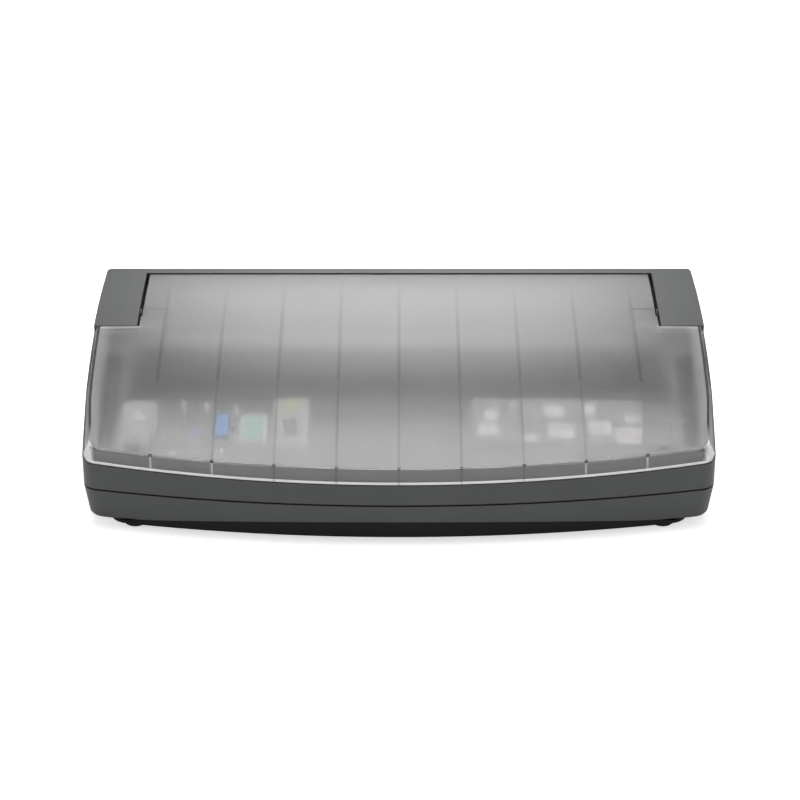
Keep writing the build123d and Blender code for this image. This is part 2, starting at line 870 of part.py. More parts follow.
def trough_form(grow):
    """Filled form of the trough: a quarter round about the hinge with upright front and rear."""
    reach = shoulder_inner_x - trough_end_gap
    spans = (trough_front_y - grow, trough_rear_y + grow)
    round_part = swing(tail_reach() + trough_gap + grow)
    round_part &= block((-reach, reach), spans, (0, hinge_height))
    return round_part + block((-reach, reach), spans, (hinge_height, crown_top_height + room))


def rear_trough():
    """Curved liner behind the slot, so that the cover's tail can swing down."""
    liner = trough_form(trough_wall) - trough_form(0)
    reach = shoulder_inner_x
    front = (trough_front_y - room, hinge_y)
    liner -= block((-reach, reach), front, (trough_front_top, crown_top_height + room))
    rear = (hinge_y, case_rear)
    return liner - block((-reach, reach), rear, (trough_rear_top, crown_top_height + room))


def slot_liner():
    """Black sleeve from the deck down to the heated plate, with a flange on the deck."""
    inside = block((-slot_half_length, slot_half_length), (slot_front_y, slot_rear_y), (0, crown_top_height))
    reach = slot_half_length + liner_wall
    sleeve = block(
        (-reach, reach),
        (slot_front_y - liner_wall, slot_rear_y + liner_wall),
        (liner_bottom, crown_top_height),
    )
    edge = liner_wall + liner_flange
    flange = block(
        (-slot_half_length - edge, slot_half_length + edge),
        (slot_front_y - edge, slot_rear_y + edge),
        (liner_bottom, crown_top_height),
    )
    flange = flange & (crown(deck_drop - liner_flange_thickness) - crown(deck_drop))
    return (sleeve & crown(deck_drop)) + flange - inside


def heating_plate():
    """Aluminium plate at the bottom of the slot."""
    reach = slot_half_length - plate_gap
    depth = (slot_front_y + plate_gap, slot_rear_y - plate_gap)
    return block((-reach, reach), depth, (plate_bottom, plate_top))


def heater_element():
    """Flat mica heater under the plate."""
    depth = (slot_front_y + liner_wall, slot_rear_y - liner_wall)
    sheet = block((-tray_half_length, tray_half_length), depth, (element_bottom, plate_bottom))
    for side in (-1, 1):
        y = slot_middle_y + side * heater_tab_spacing / 2
        sheet += block(
            (tray_half_length, tray_half_length + heater_tab_length),
            (y - heater_tab_width / 2, y + heater_tab_width / 2),
            (element_bottom, plate_bottom),
        )
    return sheet


def insulation_pad():
    """Mineral wool pad under the heater."""
    inset = liner_wall + tray_wall
    depth = (slot_front_y + inset, slot_rear_y - inset)
    return block((-tray_half_length, tray_half_length), depth, (tray_floor, element_bottom))


def heater_tray():
    """Folded steel channel that holds pad, heater and plate, on the pan's two posts."""
    depth = (slot_front_y + liner_wall, slot_rear_y - liner_wall)
    tray = block((-tray_half_length, tray_half_length), depth, (tray_bottom, element_bottom))
    return tray - insulation_pad()


def thermostat():
    """Disc thermostat clamped under the plate's right-hand end."""
    low = plate_bottom - thermostat_height
    disc = rod_z(thermostat_radius, thermostat_x, slot_middle_y, low, plate_bottom)
    tab = Box(thermostat_tab_width, thermostat_tab_thickness, thermostat_tab_length)
    for side in (-1, 1):
        y = slot_middle_y + side * thermostat_radius / 2
        disc += Pos(thermostat_x, y, low - thermostat_tab_length / 2) * tab
    return disc


def thermal_fuse():
    """One-shot fuse clipped under the plate's left-hand end."""
    half = fuse_length / 2
    height = plate_bottom - fuse_radius
    return rod_y(fuse_radius, fuse_x, slot_middle_y - half, slot_middle_y + half, height)


def plate_sensor():
    """Temperature sensor in its block under the plate's left-hand end."""
    half = sensor_size / 2
    return block(
        (sensor_x - half, sensor_x + half),
        (slot_middle_y - half, slot_middle_y + half),
        (plate_bottom - half, plate_bottom),
    )


# ---------------------------------------------------------------- controls
def deck_slope():
    """Slope of the deck at the control panel, in degrees."""
    step = 5.0
    rise = crown_height(panel_x, panel_y + step, deck_drop) - crown_height(panel_x, panel_y - step, deck_drop)
    return degrees(atan2(rise, 2 * step))


def on_panel(x, y):
    """Place on the deck over a point in plan, with +Z square to the control panel."""
    along = (y - panel_y) / cos(radians(deck_slope()))
    height = crown_height(panel_x, panel_y, deck_drop)
    return Pos(x, panel_y, height) * Rot(deck_slope(), 0, 0) * Pos(0, along, 0)


def key_places():
    """Plan place and width of each key."""
    return [
        (mode_key_x, mode_key_y, mode_key_width),
        (start_key_x, start_key_y, start_key_width),
    ]


def rounded_prism(width, length, radius, low, high):
    """A rounded rectangle extruded between two levels."""
    return Pos(0, 0, low) * extrude(RectangleRounded(width, length, radius), high - low)


def key_hole(x, y, width):
    """Opening in the deck for a key."""
    grow = 2 * key_gap
    prism = rounded_prism(
        width + grow, key_length + grow, key_corner_radius + key_gap, -deck_drop / 2, deck_drop / 2
    )
    return on_panel(x, y) * prism


def key(x, y, width):
    """One key: cap, retaining flange under the deck and stem into its switch."""
    cap = rounded_prism(width, key_length, key_corner_radius, -key_flange_top(), key_height)
    cap = fillet(cap.faces().sort_by(Axis.Z)[-1].edges(), key_height / 3)
    flange_low = -key_flange_top() - key_flange_thickness
    grow = 2 * (key_gap + key_flange)
    cap += rounded_prism(
        width + grow, key_length + grow, key_corner_radius, flange_low, -key_flange_top()
    )
    stem_low = -control_board_depth + board_thickness + key_travel + tact_bore_gap
    stem = Pos(0, 0, (stem_low + flange_low) / 2) * Cylinder(stem_radius, flange_low - stem_low)
    return on_panel(x, y) * (cap + stem)


def key_flange_top():
    """Depth of the key's flange under the deck's top surface."""
    return deck_wall + key_sink


def mode_key():
    """Narrow blue key."""
    return key(*key_places()[0])


def start_key():
    """Pale green key."""
    return key(*key_places()[1])


def start_key_bezel():
    """Pale frame round the start key."""
    grow = 2 * key_gap
    ring = rounded_prism(
        start_key_width + grow + 2 * bezel_border,
        key_length + grow + 2 * bezel_border,
        key_corner_radius + bezel_border,
        -deck_wall,
        key_height,
    )
    ring -= rounded_prism(
        start_key_width + grow,
        key_length + grow,
        key_corner_radius + key_gap,
        -deck_wall - 1,
        key_height + 1,
    )
    ring = on_panel(start_key_x, start_key_y) * ring
    return ring & (crown(deck_drop - bezel_thickness) - crown(deck_drop))


def lamp_prism(grow, low, high):
    """The lamp lens's form square to the panel."""
    prism = rounded_prism(
        lamp_width + 2 * grow, lamp_length + 2 * grow, lamp_width / 3 + grow, low, high
    )
    return on_panel(lamp_x, lamp_y) * prism


def lamp_lens():
    """Yellow-green lens over the ready lamp."""
    lens = lamp_prism(0, -deck_drop, deck_drop)
    lens &= crown(deck_drop - lamp_rise) - crown(deck_drop + deck_wall)
    return lens


def board_post_places():
    """Corners of the control board, on the deck's surface."""
    places = []
    for side in (-1, 1):
        for end in (-1, 1):
            x = side * (control_board_width / 2 - board_post_inset)
            y = end * (control_board_length / 2 - board_post_inset)
            places.append(on_panel(panel_x, panel_y) * Pos(x, y, 0))
    return places


def control_board():
    """Circuit board under the deck, on its four posts."""
    board = Box(control_board_width, control_board_length, board_thickness)
    return on_panel(panel_x, panel_y) * Pos(0, 0, -control_board_depth - board_thickness / 2) * board


def above_board(x, y):
    """Place on the control board's top under a point on the deck."""
    return on_panel(x, y) * Pos(0, 0, -control_board_depth)


def tact_switches():
    """A push switch under each key, open at the top for the key's stem."""
    group = []
    for x, y, _ in key_places():
        body = Pos(0, 0, tact_height / 2) * Box(tact_size, tact_size, tact_height)
        bore_radius = stem_radius + tact_bore_gap
        bore = Pos(0, 0, board_thickness / 2 + tact_height / 2) * Cylinder(bore_radius, tact_height)
        group.append(above_board(x, y) * (body - bore))
    return group


def ready_led():
    """Lamp on the control board under the lens."""
    led = Pos(0, 0, led_height / 2) * Cylinder(led_radius, led_height)
    led = fillet(led.faces().sort_by(Axis.Z)[-1].edges(), led_dome_radius)
    return above_board(lamp_x, lamp_y) * led


def control_chip():
    """Controller on the board's underside."""
    chip = Box(chip_width, chip_width, chip_height)
    depth = control_board_depth + board_thickness + chip_height / 2
    return on_panel(panel_x, panel_y) * Pos(chip_width, 0, -depth) * chip


def label(x, y):
    """A thin label on the deck between limits in plan."""
    size = (x[1] - x[0], y[1] - y[0])
    plan = Pos((x[0] + x[1]) / 2, (y[0] + y[1]) / 2) * RectangleRounded(*size, label_corner_radius)
    sheet = crown(deck_drop - label_thickness) - crown(deck_drop)
    return sheet & extrude(plan, crown_top_height)


def control_label():
    """Light panel round the ready lamp."""
    reach = control_label_width / 2
    sheet = label((lamp_x - reach, lamp_x + reach), (control_label_front_y, label_rear_y))
    return sheet - lamp_prism(deck_gap / 2, -deck_drop, deck_drop)


def guide_label():
    """Label on the right of the deck that shows how to load the slot."""
    return label(
        (guide_label_inner_x, guide_label_outer_x), (guide_label_front_y, label_rear_y)
    )


def notice_label():
    """Small label on the left of the deck."""
    return label(
        (notice_label_outer_x, notice_label_inner_x), (notice_label_front_y, label_rear_y)
    )


def cover_bumpers():
    """Two rubber buttons on the deck's rim that the closed cover rests against."""
    y = front_y(bumper_x) + ledge_width + deck_gap + rim_wall + bumper_radius + bumper_gap
    pad = rod_z(bumper_radius, bumper_x, y, 0, crown_top_height)
    pad &= crown(cover_wall + bumper_gap) - crown(deck_drop)
    return both_sides(pad)


# ---------------------------------------------------------------- power board
def on_power_board(x, y, size):
    """A box-shaped component on the power board."""
    base = power_board_height + board_thickness
    return block(
        (x - size[0] / 2, x + size[0] / 2), (y - size[1] / 2, y + size[1] / 2), (base, base + size[2])
    )


def power_board():
    """Supply and heater control board on the pan's standoffs."""
    board = block(
        (power_board_inner_x, power_board_outer_x),
        (power_board_front_y, power_board_rear_y),
        (power_board_height, power_board_height + board_thickness),
    )
    for x, y in standoff_places():
        board -= rod_z(screw_radius, x, y, power_board_height, power_board_height + board_thickness)
    return board


def board_middle_y():
    """Middle of the power board from front to rear."""
    return (power_board_front_y + power_board_rear_y) / 2


def transformer():
    """Small supply transformer."""
    x = power_board_inner_x + standoff_inset * 2 + transformer_size[0] / 2
    return on_power_board(x, board_middle_y(), transformer_size)


def heater_relay():
    """Relay that switches the heater."""
    x = power_board_outer_x - standoff_inset * 2 - relay_size[0] / 2
    return on_power_board(x, board_middle_y() - relay_size[1] / 2, relay_size)


def terminal_block():
    """Screw terminals for the mains and heater leads."""
    x = power_board_outer_x - standoff_inset * 2 - relay_size[0] / 2
    return on_power_board(x, board_middle_y() + terminal_size[1], terminal_size)


def capacitors():
    """Two upright capacitors."""
    base = power_board_height + board_thickness
    x = power_board_inner_x + standoff_inset * 2 + transformer_size[0] + 2 * capacitor_radius
    group = []
    for side in (-1, 1):
        y = board_middle_y() + side * (capacitor_radius + capacitor_gap / 2)
        can = rod_z(capacitor_radius, x, y, base, base + capacitor_height)
        group.append(chamfer(can.faces().sort_by(Axis.Z)[-1].edges(), capacitor_edge))
    return group


def heat_sink():
    """Finned heat sink for the heater's triac."""
    width, length = heat_sink_size
    x = (power_board_inner_x + power_board_outer_x) / 2 + width / 2
    base = power_board_height + board_thickness
    y = (board_middle_y() - length / 2, board_middle_y() + length / 2)
    sink = block((x - width / 2, x + width / 2), y, (base, base + 2 * fin_thickness))
    pitch = (width - fin_thickness) / (fin_count - 1)
    for index in range(fin_count):
        left = x - width / 2 + index * pitch
        sink += block((left, left + fin_thickness), y, (base, base + fin_height))
    return sink


# ---------------------------------------------------------------- rear socket and switch
def wall_box(x, size, low, high):
    """A box behind the rear pocket's floor, between two depths measured forward from it."""
    return block(
        (x - size[0] / 2, x + size[0] / 2),
        (pocket_floor_y - high, pocket_floor_y - low),
        (socket_height - size[1] / 2, socket_height + size[1] / 2),
    )


def inlet_socket():
    """Two-pole mains inlet with a figure-eight recess."""
    flange = wall_box(socket_x, socket_flange, -socket_flange[2], 0)
    mouth_y = pocket_floor_y + socket_flange[2]
    flange = fillet(flange.edges().filter_by(Axis.Y), socket_corner_radius)
    body = flange + wall_box(socket_x, socket_body, 0, socket_body[2])
    for side in (-1, 1):
        x = socket_x + side * socket_lobe_spacing / 2
        body -= rod_y(socket_lobe_radius, x, mouth_y - socket_recess, mouth_y, socket_height)
    body -= block(
        (socket_x - socket_lobe_spacing / 2, socket_x + socket_lobe_spacing / 2),
        (mouth_y - socket_recess, mouth_y),
        (socket_height - socket_waist / 2, socket_height + socket_waist / 2),
    )
    for side in (-1, 1):
        x = socket_x + side * contact_spacing / 2
        low = pocket_floor_y - socket_body[2]
        body -= rod_y(contact_radius, x, low, mouth_y - socket_recess, socket_height)
    return body


def inlet_contacts():
    """The inlet's two pins, which pass through its back as solder tails."""
    floor_y = pocket_floor_y + socket_flange[2] - socket_recess
    group = []
    for side in (-1, 1):
        x = socket_x + side * contact_spacing / 2
        low = pocket_floor_y - socket_body[2] - contact_tail
        group.append(rod_y(contact_radius, x, low, floor_y + contact_length, socket_height))
    return group


def rocker_axis_y():
    """Where the rocker's upright pivot lies from front to rear."""
    return pocket_floor_y + switch_bezel[2] - rocker_pivot_depth


def switch_housing():
    """Snap-in housing of the mains switch."""
    bezel = wall_box(switch_x, switch_bezel, -switch_bezel[2], 0)
    housing = bezel + wall_box(switch_x, switch_body, 0, switch_body[2])
    grow = 2 * rocker_gap
    cavity = (rocker_length + grow + rocker_travel_room, rocker_width + grow)
    housing -= wall_box(switch_x, cavity, -switch_bezel[2], switch_body[2] - switch_rear_wall)
    reach = rocker_pivot_length / 2 + rocker_pivot_end_gap
    pivot = rocker_pivot_radius + pin_running_gap
    return housing - rod_z(pivot, switch_x, rocker_axis_y(), socket_height - reach, socket_height + reach)


def switch_rocker():
    """Rocker on its upright pivot, resting in the off position."""
    half = rocker_length / 2
    rise = half * sin(radians(rocker_angle))
    rear_half = rocker_rear_length / 2
    face_y = pocket_floor_y + switch_bezel[2] + rocker_proud
    y = rocker_axis_y()
    back = y - rocker_pivot_radius * 2
    profile = Polyline(
        (-half, face_y - y + rise),
        (0, face_y - y),
        (half, face_y - y + rise),
        (rear_half, back - y + rise),
        (rocker_pivot_radius, back - y),
        (-rocker_pivot_radius, back - y),
        (-rear_half, back - y + rise),
        close=True,
    )
    body = extrude(make_face(profile), rocker_width / 2, both=True)
    body += Cylinder(rocker_pivot_radius, rocker_pivot_length)
    return Pos(switch_x, y, socket_height) * Rot(0, 0, rocker_angle) * body


# ---------------------------------------------------------------- fasteners and leads
def screw(x, y, head_low, tip):
    """An upright screw with its head at the bottom."""
    head = rod_z(screw_head_radius, x, y, head_low, head_low + screw_head_height)
    return head + rod_z(screw_radius, x, y, head_low + screw_head_height, tip)


def pan_screws():
    """Screws through the pan into the deck's posts."""
    return [screw(x, y, foot_height, pan_floor + screw_bite) for x, y in screw_places()]


def column_screws():
    """Screws through the lower case into the upper case's columns."""
    low = lower_bottom - screw_head_height / 2
    tip = lower_bottom + case_wall + screw_bite
    return [screw(x, y, low, tip) for x, y in column_places()]


def board_screws():
    """Screws that hold the power board to its standoffs."""
    group = []
    top = power_board_height + board_thickness
    for x, y in standoff_places():
        shank = rod_z(screw_radius, x, y, pan_floor, top)
        group.append(shank + rod_z(screw_head_radius, x, y, top, top + screw_head_height))
    return group


def lead(points):
    """An insulated lead along straight runs joined by arcs."""
    radii = []
    for before, corner, after in zip(points, points[1:], points[2:]):
        run_in = Vector(*corner) - Vector(*before)
        run_out = Vector(*after) - Vector(*corner)
        turn = radians(run_in.get_angle(run_out))
        shorter = min(run_in.length, run_out.length)
        radii.append(lead_bend_share * shorter * cos(turn / 2) / sin(turn / 2))
    path = FilletPolyline(*points, radius=radii)
    start = Plane(origin=path @ 0, z_dir=path % 0)
    return sweep(start * Circle(lead_radius), path=path)


def terminal_x(slot):
    """Where the terminal block's clamps lie, counted from the left."""
    middle = power_board_outer_x - standoff_inset * 2 - relay_size[0] / 2
    return middle + (slot - (terminal_count - 1) / 2) * lead_spacing


def mains_leads():
    """Leads from the inlet's pins to the power board's terminals, round the heater's end."""
    group = []
    top = power_board_height + board_thickness + terminal_size[2]
    start_y = pocket_floor_y - socket_body[2] - contact_tail
    end_y = board_middle_y() + terminal_size[1]
    for side in (-1, 1):
        x = socket_x + side * contact_spacing / 2
        lane = lead_lane_x + side * lead_spacing / 2
        shift = side * lead_spacing / 2
        clamp_x = terminal_x((1 - side) / 2)
        points = [
            (x, start_y, socket_height),
            (x, start_y - 6, socket_height),
            (x + 16, start_y - 26, 24),
            (lane, start_y - 62, 22),
            (lane - 2, -58 - shift, 24),
            (156, -72 - shift, 34),
            (clamp_x, -68 - shift, top + 12),
            (clamp_x, end_y, top + 12),
            (clamp_x, end_y, top),
        ]
        group.append(lead(points))
    return group


def heater_leads():
    """Leads from the power board's terminals up to the heater's two tabs."""
    group = []
    top = power_board_height + board_thickness + terminal_size[2]
    start_y = board_middle_y() + terminal_size[1]
    for slot, side in ((2, -1), (3, 1)):
        x = tray_half_length + heater_tab_length / 2
        y = slot_middle_y + side * heater_tab_spacing / 2
        points = [
            (terminal_x(slot), start_y, top),
            (terminal_x(slot), start_y, top + 9),
            (terminal_x(slot) + 14, start_y + 4 + side, top + 6),
            (x, slot_front_y - 8, 30),
            (x, y, 30),
            (x, y, element_bottom),
        ]
        group.append(lead(points))
    return group


def panel_cable():
    """Thin cable from the power board up to the control board."""
    x = power_board_inner_x + standoff_inset * 2
    y = power_board_rear_y - standoff_inset
    base = power_board_height + board_thickness
    end = on_panel(panel_x + control_board_width / 2 - 2 * board_post_inset, panel_y) * Pos(
        0, 0, -control_board_depth - board_thickness
    )
    end_x, end_y, end_z = tuple(end.position)
    slope = radians(deck_slope())
    points = [
        (x, y, base),
        (x, y, base + 10),
        (x - 20, y + 2, base + 16),
        (end_x + 36, end_y + 6, end_z - 22),
        (end_x, end_y + 14 * sin(slope), end_z - 14 * cos(slope)),
        (end_x, end_y, end_z),
    ]
    return lead(points)


def rating_plate():
    """Bare plate let into the pan's underside."""
    length, width, thickness = rating_plate_size
    return block((-length / 2, length / 2), (-width / 2, width / 2), (foot_height, foot_height + thickness))


PIECES = (
    bottom_pan,
    lower_case,
    top_case,
    feet,
    rating_plate,
    deck,
    rear_trough,
    slot_liner,
    heating_plate,
    heater_element,
    insulation_pad,
    heater_tray,
    thermostat,
    thermal_fuse,
    plate_sensor,
    cover,
    hinge_pins,
    hinge_bushes,
    cover_bumpers,
    mode_key,
    start_key,
    start_key_bezel,
    lamp_lens,
    ready_led,
    control_board,
    control_chip,
    tact_switches,
    control_label,
    guide_label,
    notice_label,
    power_board,
    transformer,
    heater_relay,
    terminal_block,
    capacitors,
    heat_sink,
    inlet_socket,
    inlet_contacts,
    switch_housing,
    switch_rocker,
    pan_screws,
    column_screws,
    board_screws,
    mains_leads,
    heater_leads,
    panel_cable,
)

os.makedirs("parts", exist_ok=True)
for make in PIECES:
    piece = make()
    if isinstance(piece, list):
        piece = Compound(children=piece)
    export_step(piece, f"parts/{make.__name__}.step")
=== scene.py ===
# %% [markdown] # A thermal binding machine with a frosted cover The machine is a low grey case
# with a bowed front. A frosted cover is hinged between two grey shoulders, and through it one
# sees, blurred, the sloping deck with its keys, labels and the dark slot.

# %% Load the frame
import json
import math

import bpy
import numpy as np
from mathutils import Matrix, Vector

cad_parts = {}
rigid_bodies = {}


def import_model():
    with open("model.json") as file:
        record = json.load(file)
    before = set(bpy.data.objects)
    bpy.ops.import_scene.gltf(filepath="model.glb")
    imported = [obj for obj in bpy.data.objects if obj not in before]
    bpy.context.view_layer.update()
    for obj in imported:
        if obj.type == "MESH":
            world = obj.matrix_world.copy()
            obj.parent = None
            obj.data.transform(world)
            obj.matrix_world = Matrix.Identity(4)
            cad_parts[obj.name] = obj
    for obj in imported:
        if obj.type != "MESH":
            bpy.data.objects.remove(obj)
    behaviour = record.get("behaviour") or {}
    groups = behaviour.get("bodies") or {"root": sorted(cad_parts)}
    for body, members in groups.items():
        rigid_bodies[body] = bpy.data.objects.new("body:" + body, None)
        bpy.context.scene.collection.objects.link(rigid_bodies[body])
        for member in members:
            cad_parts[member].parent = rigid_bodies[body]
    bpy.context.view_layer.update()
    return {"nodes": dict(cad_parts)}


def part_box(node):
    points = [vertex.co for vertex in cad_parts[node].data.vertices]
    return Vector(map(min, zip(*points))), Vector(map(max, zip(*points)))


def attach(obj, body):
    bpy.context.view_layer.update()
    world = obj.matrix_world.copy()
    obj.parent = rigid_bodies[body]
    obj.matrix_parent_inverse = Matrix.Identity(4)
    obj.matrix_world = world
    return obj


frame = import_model()

MM = 0.001  # Blender's unit is the metre, the sizes in this lesson are millimetres


def in_mm(*lengths):
    """Lengths in millimetres, to be printed."""
    return [round(float(length) / MM, 2) for length in lengths]


# %% [markdown]
# ## Sums with sockets
#
# A finish is a small program made of nodes. Written node by node it is hard to read, so a thin
# wrapper lets a socket take part in Python sums: `1 - mask` adds a Math node and hands back its
# result. Colours never go through Math nodes, which would turn them grey; they go through Mix.


# %% A socket that takes part in sums
class Signal:
    """Wraps a node's output socket, so that sums on it add Math nodes."""

    def __init__(self, nodes, socket):
        self.nodes = nodes
        self.socket = socket

    def calculate(self, operation, *values):
        """Add a Math node on values or signals, given in the order of its sockets."""
        return self.nodes.add("ShaderNodeMath", {"operation": operation}, dict(enumerate(values)))

    def __add__(self, other):
        return self.calculate("ADD", self, other)

    __radd__ = __add__

    def __sub__(self, other):
        return self.calculate("SUBTRACT", self, other)

    def __rsub__(self, other):
        return self.calculate("SUBTRACT", other, self)

    def __mul__(self, other):
        return self.calculate("MULTIPLY", self, other)

    __rmul__ = __mul__

    def __gt__(self, other):
        return self.calculate("GREATER_THAN", self, other)

    def __lt__(self, other):
        return self.calculate("LESS_THAN", self, other)

    def __abs__(self):
        return self.calculate("ABSOLUTE", self)

    def root(self):
        return self.calculate("SQRT", self)

    def to_nearest(self, pitch):
        """Distance to the nearest multiple of a pitch."""
        return self.calculate("PINGPONG", self, pitch / 2)

    def within(self, low, high):
        """1 between two limits, 0 outside."""
        return (self > low) * (self < high)

    def ramp(self, low, high, to_low=0.0, to_high=1.0):
        """The signal stretched between two limits to a new range, held at its ends."""
        values = dict(enumerate((self, low, high, to_low, to_high)))
        return self.nodes.add("ShaderNodeMapRange", {"clamp": True}, values)

    def clamped(self):
        """The signal held between 0 and 1."""
        return self.nodes.add("ShaderNodeClamp", inputs={0: self})


print("a signal also knows", [name for name in vars(Signal) if not name.startswith("_")])

# %% [markdown]
# ## Trees of nodes
#
# Materials and the world are both trees of nodes. One method adds every kind of node: it sets
# the node up first, because some settings change which sockets there are, and then fills the
# sockets with values or links. A finish is such a tree with a Principled shader at its end.


# %% A tree of nodes
class Nodes:
    """Adds nodes to the tree of a material or of the world."""

    def __init__(self, tree):
        self.tree = tree

    def feed(self, target, value):
        """Give a socket a value, or link a signal to it."""
        if isinstance(value, Signal):
            self.tree.links.new(value.socket, target)
        else:
            target.default_value = value

    def add(self, kind, settings=None, inputs=None, output=0):
        """Add a node: its settings first, then the values or links of its sockets."""
        made = self.tree.nodes.new(kind)
        for name, value in (settings or {}).items():
            setattr(made, name, value)
        for name, value in (inputs or {}).items():
            self.feed(made.inputs[name], value)
        return Signal(self, made.outputs[output])


print("a tree of nodes knows", [name for name in vars(Nodes) if not name.startswith("_")])


# %% A finish
class Finish(Nodes):
    """A material with one Principled shader, built by expressions."""

    def __init__(self, name, colour, roughness, **constants):
        self.material = bpy.data.materials.new(name)
        self.material.use_nodes = True
        super().__init__(self.material.node_tree)
        self.shader = self.tree.nodes["Principled BSDF"]
        self.set("Base Color", (*colour, 1.0))
        self.set("Roughness", roughness)
        for socket, value in constants.items():
            self.set(socket.replace("_", " "), value)

    def set(self, socket, value):
        """Give a socket of the shader a value or a link."""
        self.feed(self.shader.inputs[socket], value)

    def linked(self, socket):
        """The signal that feeds a socket of the shader so far."""
        return Signal(self, self.shader.inputs[socket].links[0].from_socket)

    def place(self):
        """Object coordinates, in metres in the machine's own frame."""
        return self.add("ShaderNodeTexCoord", output="Object")

    def axes(self):
        """The three coordinates as separate signals."""
        split = self.add("ShaderNodeSeparateXYZ", inputs={0: self.place()}).socket.node
        return [Signal(self, output) for output in split.outputs]

    def noise(self, scale, detail, at=None):
        """Noise between 0 and 1; scale is in features per metre."""
        inputs = {"Vector": at or self.place(), "Scale": scale, "Detail": detail}
        return self.add("ShaderNodeTexNoise", inputs=inputs, output="Fac")

    def blend(self, factor, first, second):
        """Mix two colours."""
        first, second = (c if isinstance(c, Signal) else (*c, 1.0) for c in (first, second))
        inputs = {0: factor, 6: first, 7: second}  # 6, 7 and output 2 are the sockets for colours
        return self.add("ShaderNodeMix", {"data_type": "RGBA"}, inputs, 2)

    def bump(self, height, distance, strength):
        """Raise the surface by a height signal; distance is in metres."""
        inputs = {"Height": height, "Distance": distance, "Strength": strength}
        self.set("Normal", self.add("ShaderNodeBump", inputs=inputs))


print("a finish knows", [name for name in vars(Finish) if not name.startswith("_")])

# %% [markdown]
# ## Moulded plastic
#
# The case is injection moulded in a dark warm grey with a fine spark-eroded grain. The grain is
# far too small to see as bumps; it breaks up the highlight, so the surface looks satin. It could
# be carved into the mesh, which would take millions of faces. A fine noise raised by a few
# hundredths of a millimetre does the same, and a slower noise varies the roughness and the
# colour a little, as handling does.

# %% Grained plastic
CLOUDS_PER_METRE = 25.0
CLOUD_RANGE = (0.25, 0.75)  # noise seldom leaves these, so the tint is stretched between them
DARKER, LIGHTER = 0.94, 1.05
GRAIN_STRENGTH = 0.6


def scaled(colour, factor):
    """A colour made lighter or darker, at most white."""
    return tuple(min(channel * factor, 1.0) for channel in colour)


def grained_plastic(name, colour, roughness, grain=0.45, depth=0.02, wear=0.04, **constants):
    """Satin moulded plastic: fine grain, slow variation in its shine and colour.

    The width and depth of the grain are in millimetres.
    """
    finish = Finish(name, colour, roughness, **constants)
    cloud = finish.noise(CLOUDS_PER_METRE, detail=3.0)
    finish.set("Roughness", roughness + (cloud - 0.5) * (2 * wear))
    tints = scaled(colour, DARKER), scaled(colour, LIGHTER)
    finish.set("Base Color", finish.blend(cloud.ramp(*CLOUD_RANGE), *tints))
    finish.bump(finish.noise(1.0 / (grain * MM), detail=2.0), depth * MM, GRAIN_STRENGTH)
    return finish


black_pan = grained_plastic(
    "black_pan_plastic", (0.008, 0.008, 0.008), 0.55, Specular_IOR_Level=0.2
).material
black_moulding = grained_plastic("black_moulding", (0.012, 0.012, 0.013), 0.45).material
rubber = grained_plastic("rubber", (0.02, 0.02, 0.02), 0.8, 0.8, 0.03).material
clear_rubber = grained_plastic("clear_rubber", (0.40, 0.40, 0.39), 0.4, 0.8, 0.01).material
print("made", black_pan.name, black_moulding.name, rubber.name, clear_rubber.name)

# %% [markdown]
# ## The seam of the case
#
# The upper and the lower case meet in a fine dark line round the machine. It could be a groove
# in the mesh, but it is under 2 mm high and at one height everywhere, so a mask on the height
# paints it: 1 between two heights, 0 elsewhere.

# %% Case plastic with its seam
CASE_GREY = (0.062, 0.066, 0.065)
SEAM_BLACK = (0.006, 0.006, 0.006)
SEAM_Z = 31.0 * MM
SEAM_HALF = 0.8 * MM


def seamed_case(name, colour, roughness):
    """Case plastic with a dark line where the two halves of the case meet."""
    finish = grained_plastic(name, colour, roughness)
    height = finish.axes()[2]
    seam = height.within(SEAM_Z - SEAM_HALF, SEAM_Z + SEAM_HALF)
    finish.set("Base Color", finish.blend(seam, finish.linked("Base Color"), SEAM_BLACK))
    return finish.material


grey_case = seamed_case("grey_case_plastic", CASE_GREY, 0.42)
print("seam at (mm)", in_mm(SEAM_Z), "above the floor")

# %% [markdown]
# ## The deck
#
# The deck under the cover is a paler plastic. Towards the slot and in the channels along its
# sides it lies in shade. A cover that scatters light also lights what is under it, so modelled
# shade alone can't get as dark as the photograph shows it. Two masks on the place paint that
# shade into the plastic's colour, darker towards the slot and black in the channels, with soft
# ends where the photograph has soft ends.

# %% Deck plastic
DECK_GREY = (0.48, 0.48, 0.475)
# The deck's painted shade: black in the side channels and darker towards the slot.
CHANNEL_SHADE_BLACK = (0.02, 0.02, 0.02)
SLOT_SHADE_Y = (-74 * MM, -38 * MM)  # pale in front of the first, darkest behind the second
SLOT_SHADE_SHARE = 0.28
CHANNEL_X = (196.8 * MM, 209.0 * MM)
CHANNEL_FRONT_Y = (-62 * MM, -48 * MM)
CHANNEL_BACK_Y = 12.4 * MM


def deck_plastic():
    """Paler plastic of the deck with painted shade, darker round the slot and black in the side
    channels.
    """
    finish = grained_plastic("deck_plastic", DECK_GREY, 0.5)
    x, y, _ = finish.axes()
    # Painted shade, darkest towards the slot.
    slot_shade = y.ramp(*SLOT_SHADE_Y)
    painted_slot_shade = scaled(DECK_GREY, SLOT_SHADE_SHARE)
    colour = finish.blend(slot_shade, finish.linked("Base Color"), painted_slot_shade)
    # Painted shade in the side channels, black.
    channel = abs(x).within(*CHANNEL_X) * y.ramp(*CHANNEL_FRONT_Y) * (y < CHANNEL_BACK_Y)
    finish.set("Base Color", finish.blend(channel, colour, CHANNEL_SHADE_BLACK))
    return finish.material


deck_grey = deck_plastic()
print(deck_grey.name, "has", len(deck_grey.node_tree.nodes), "nodes")

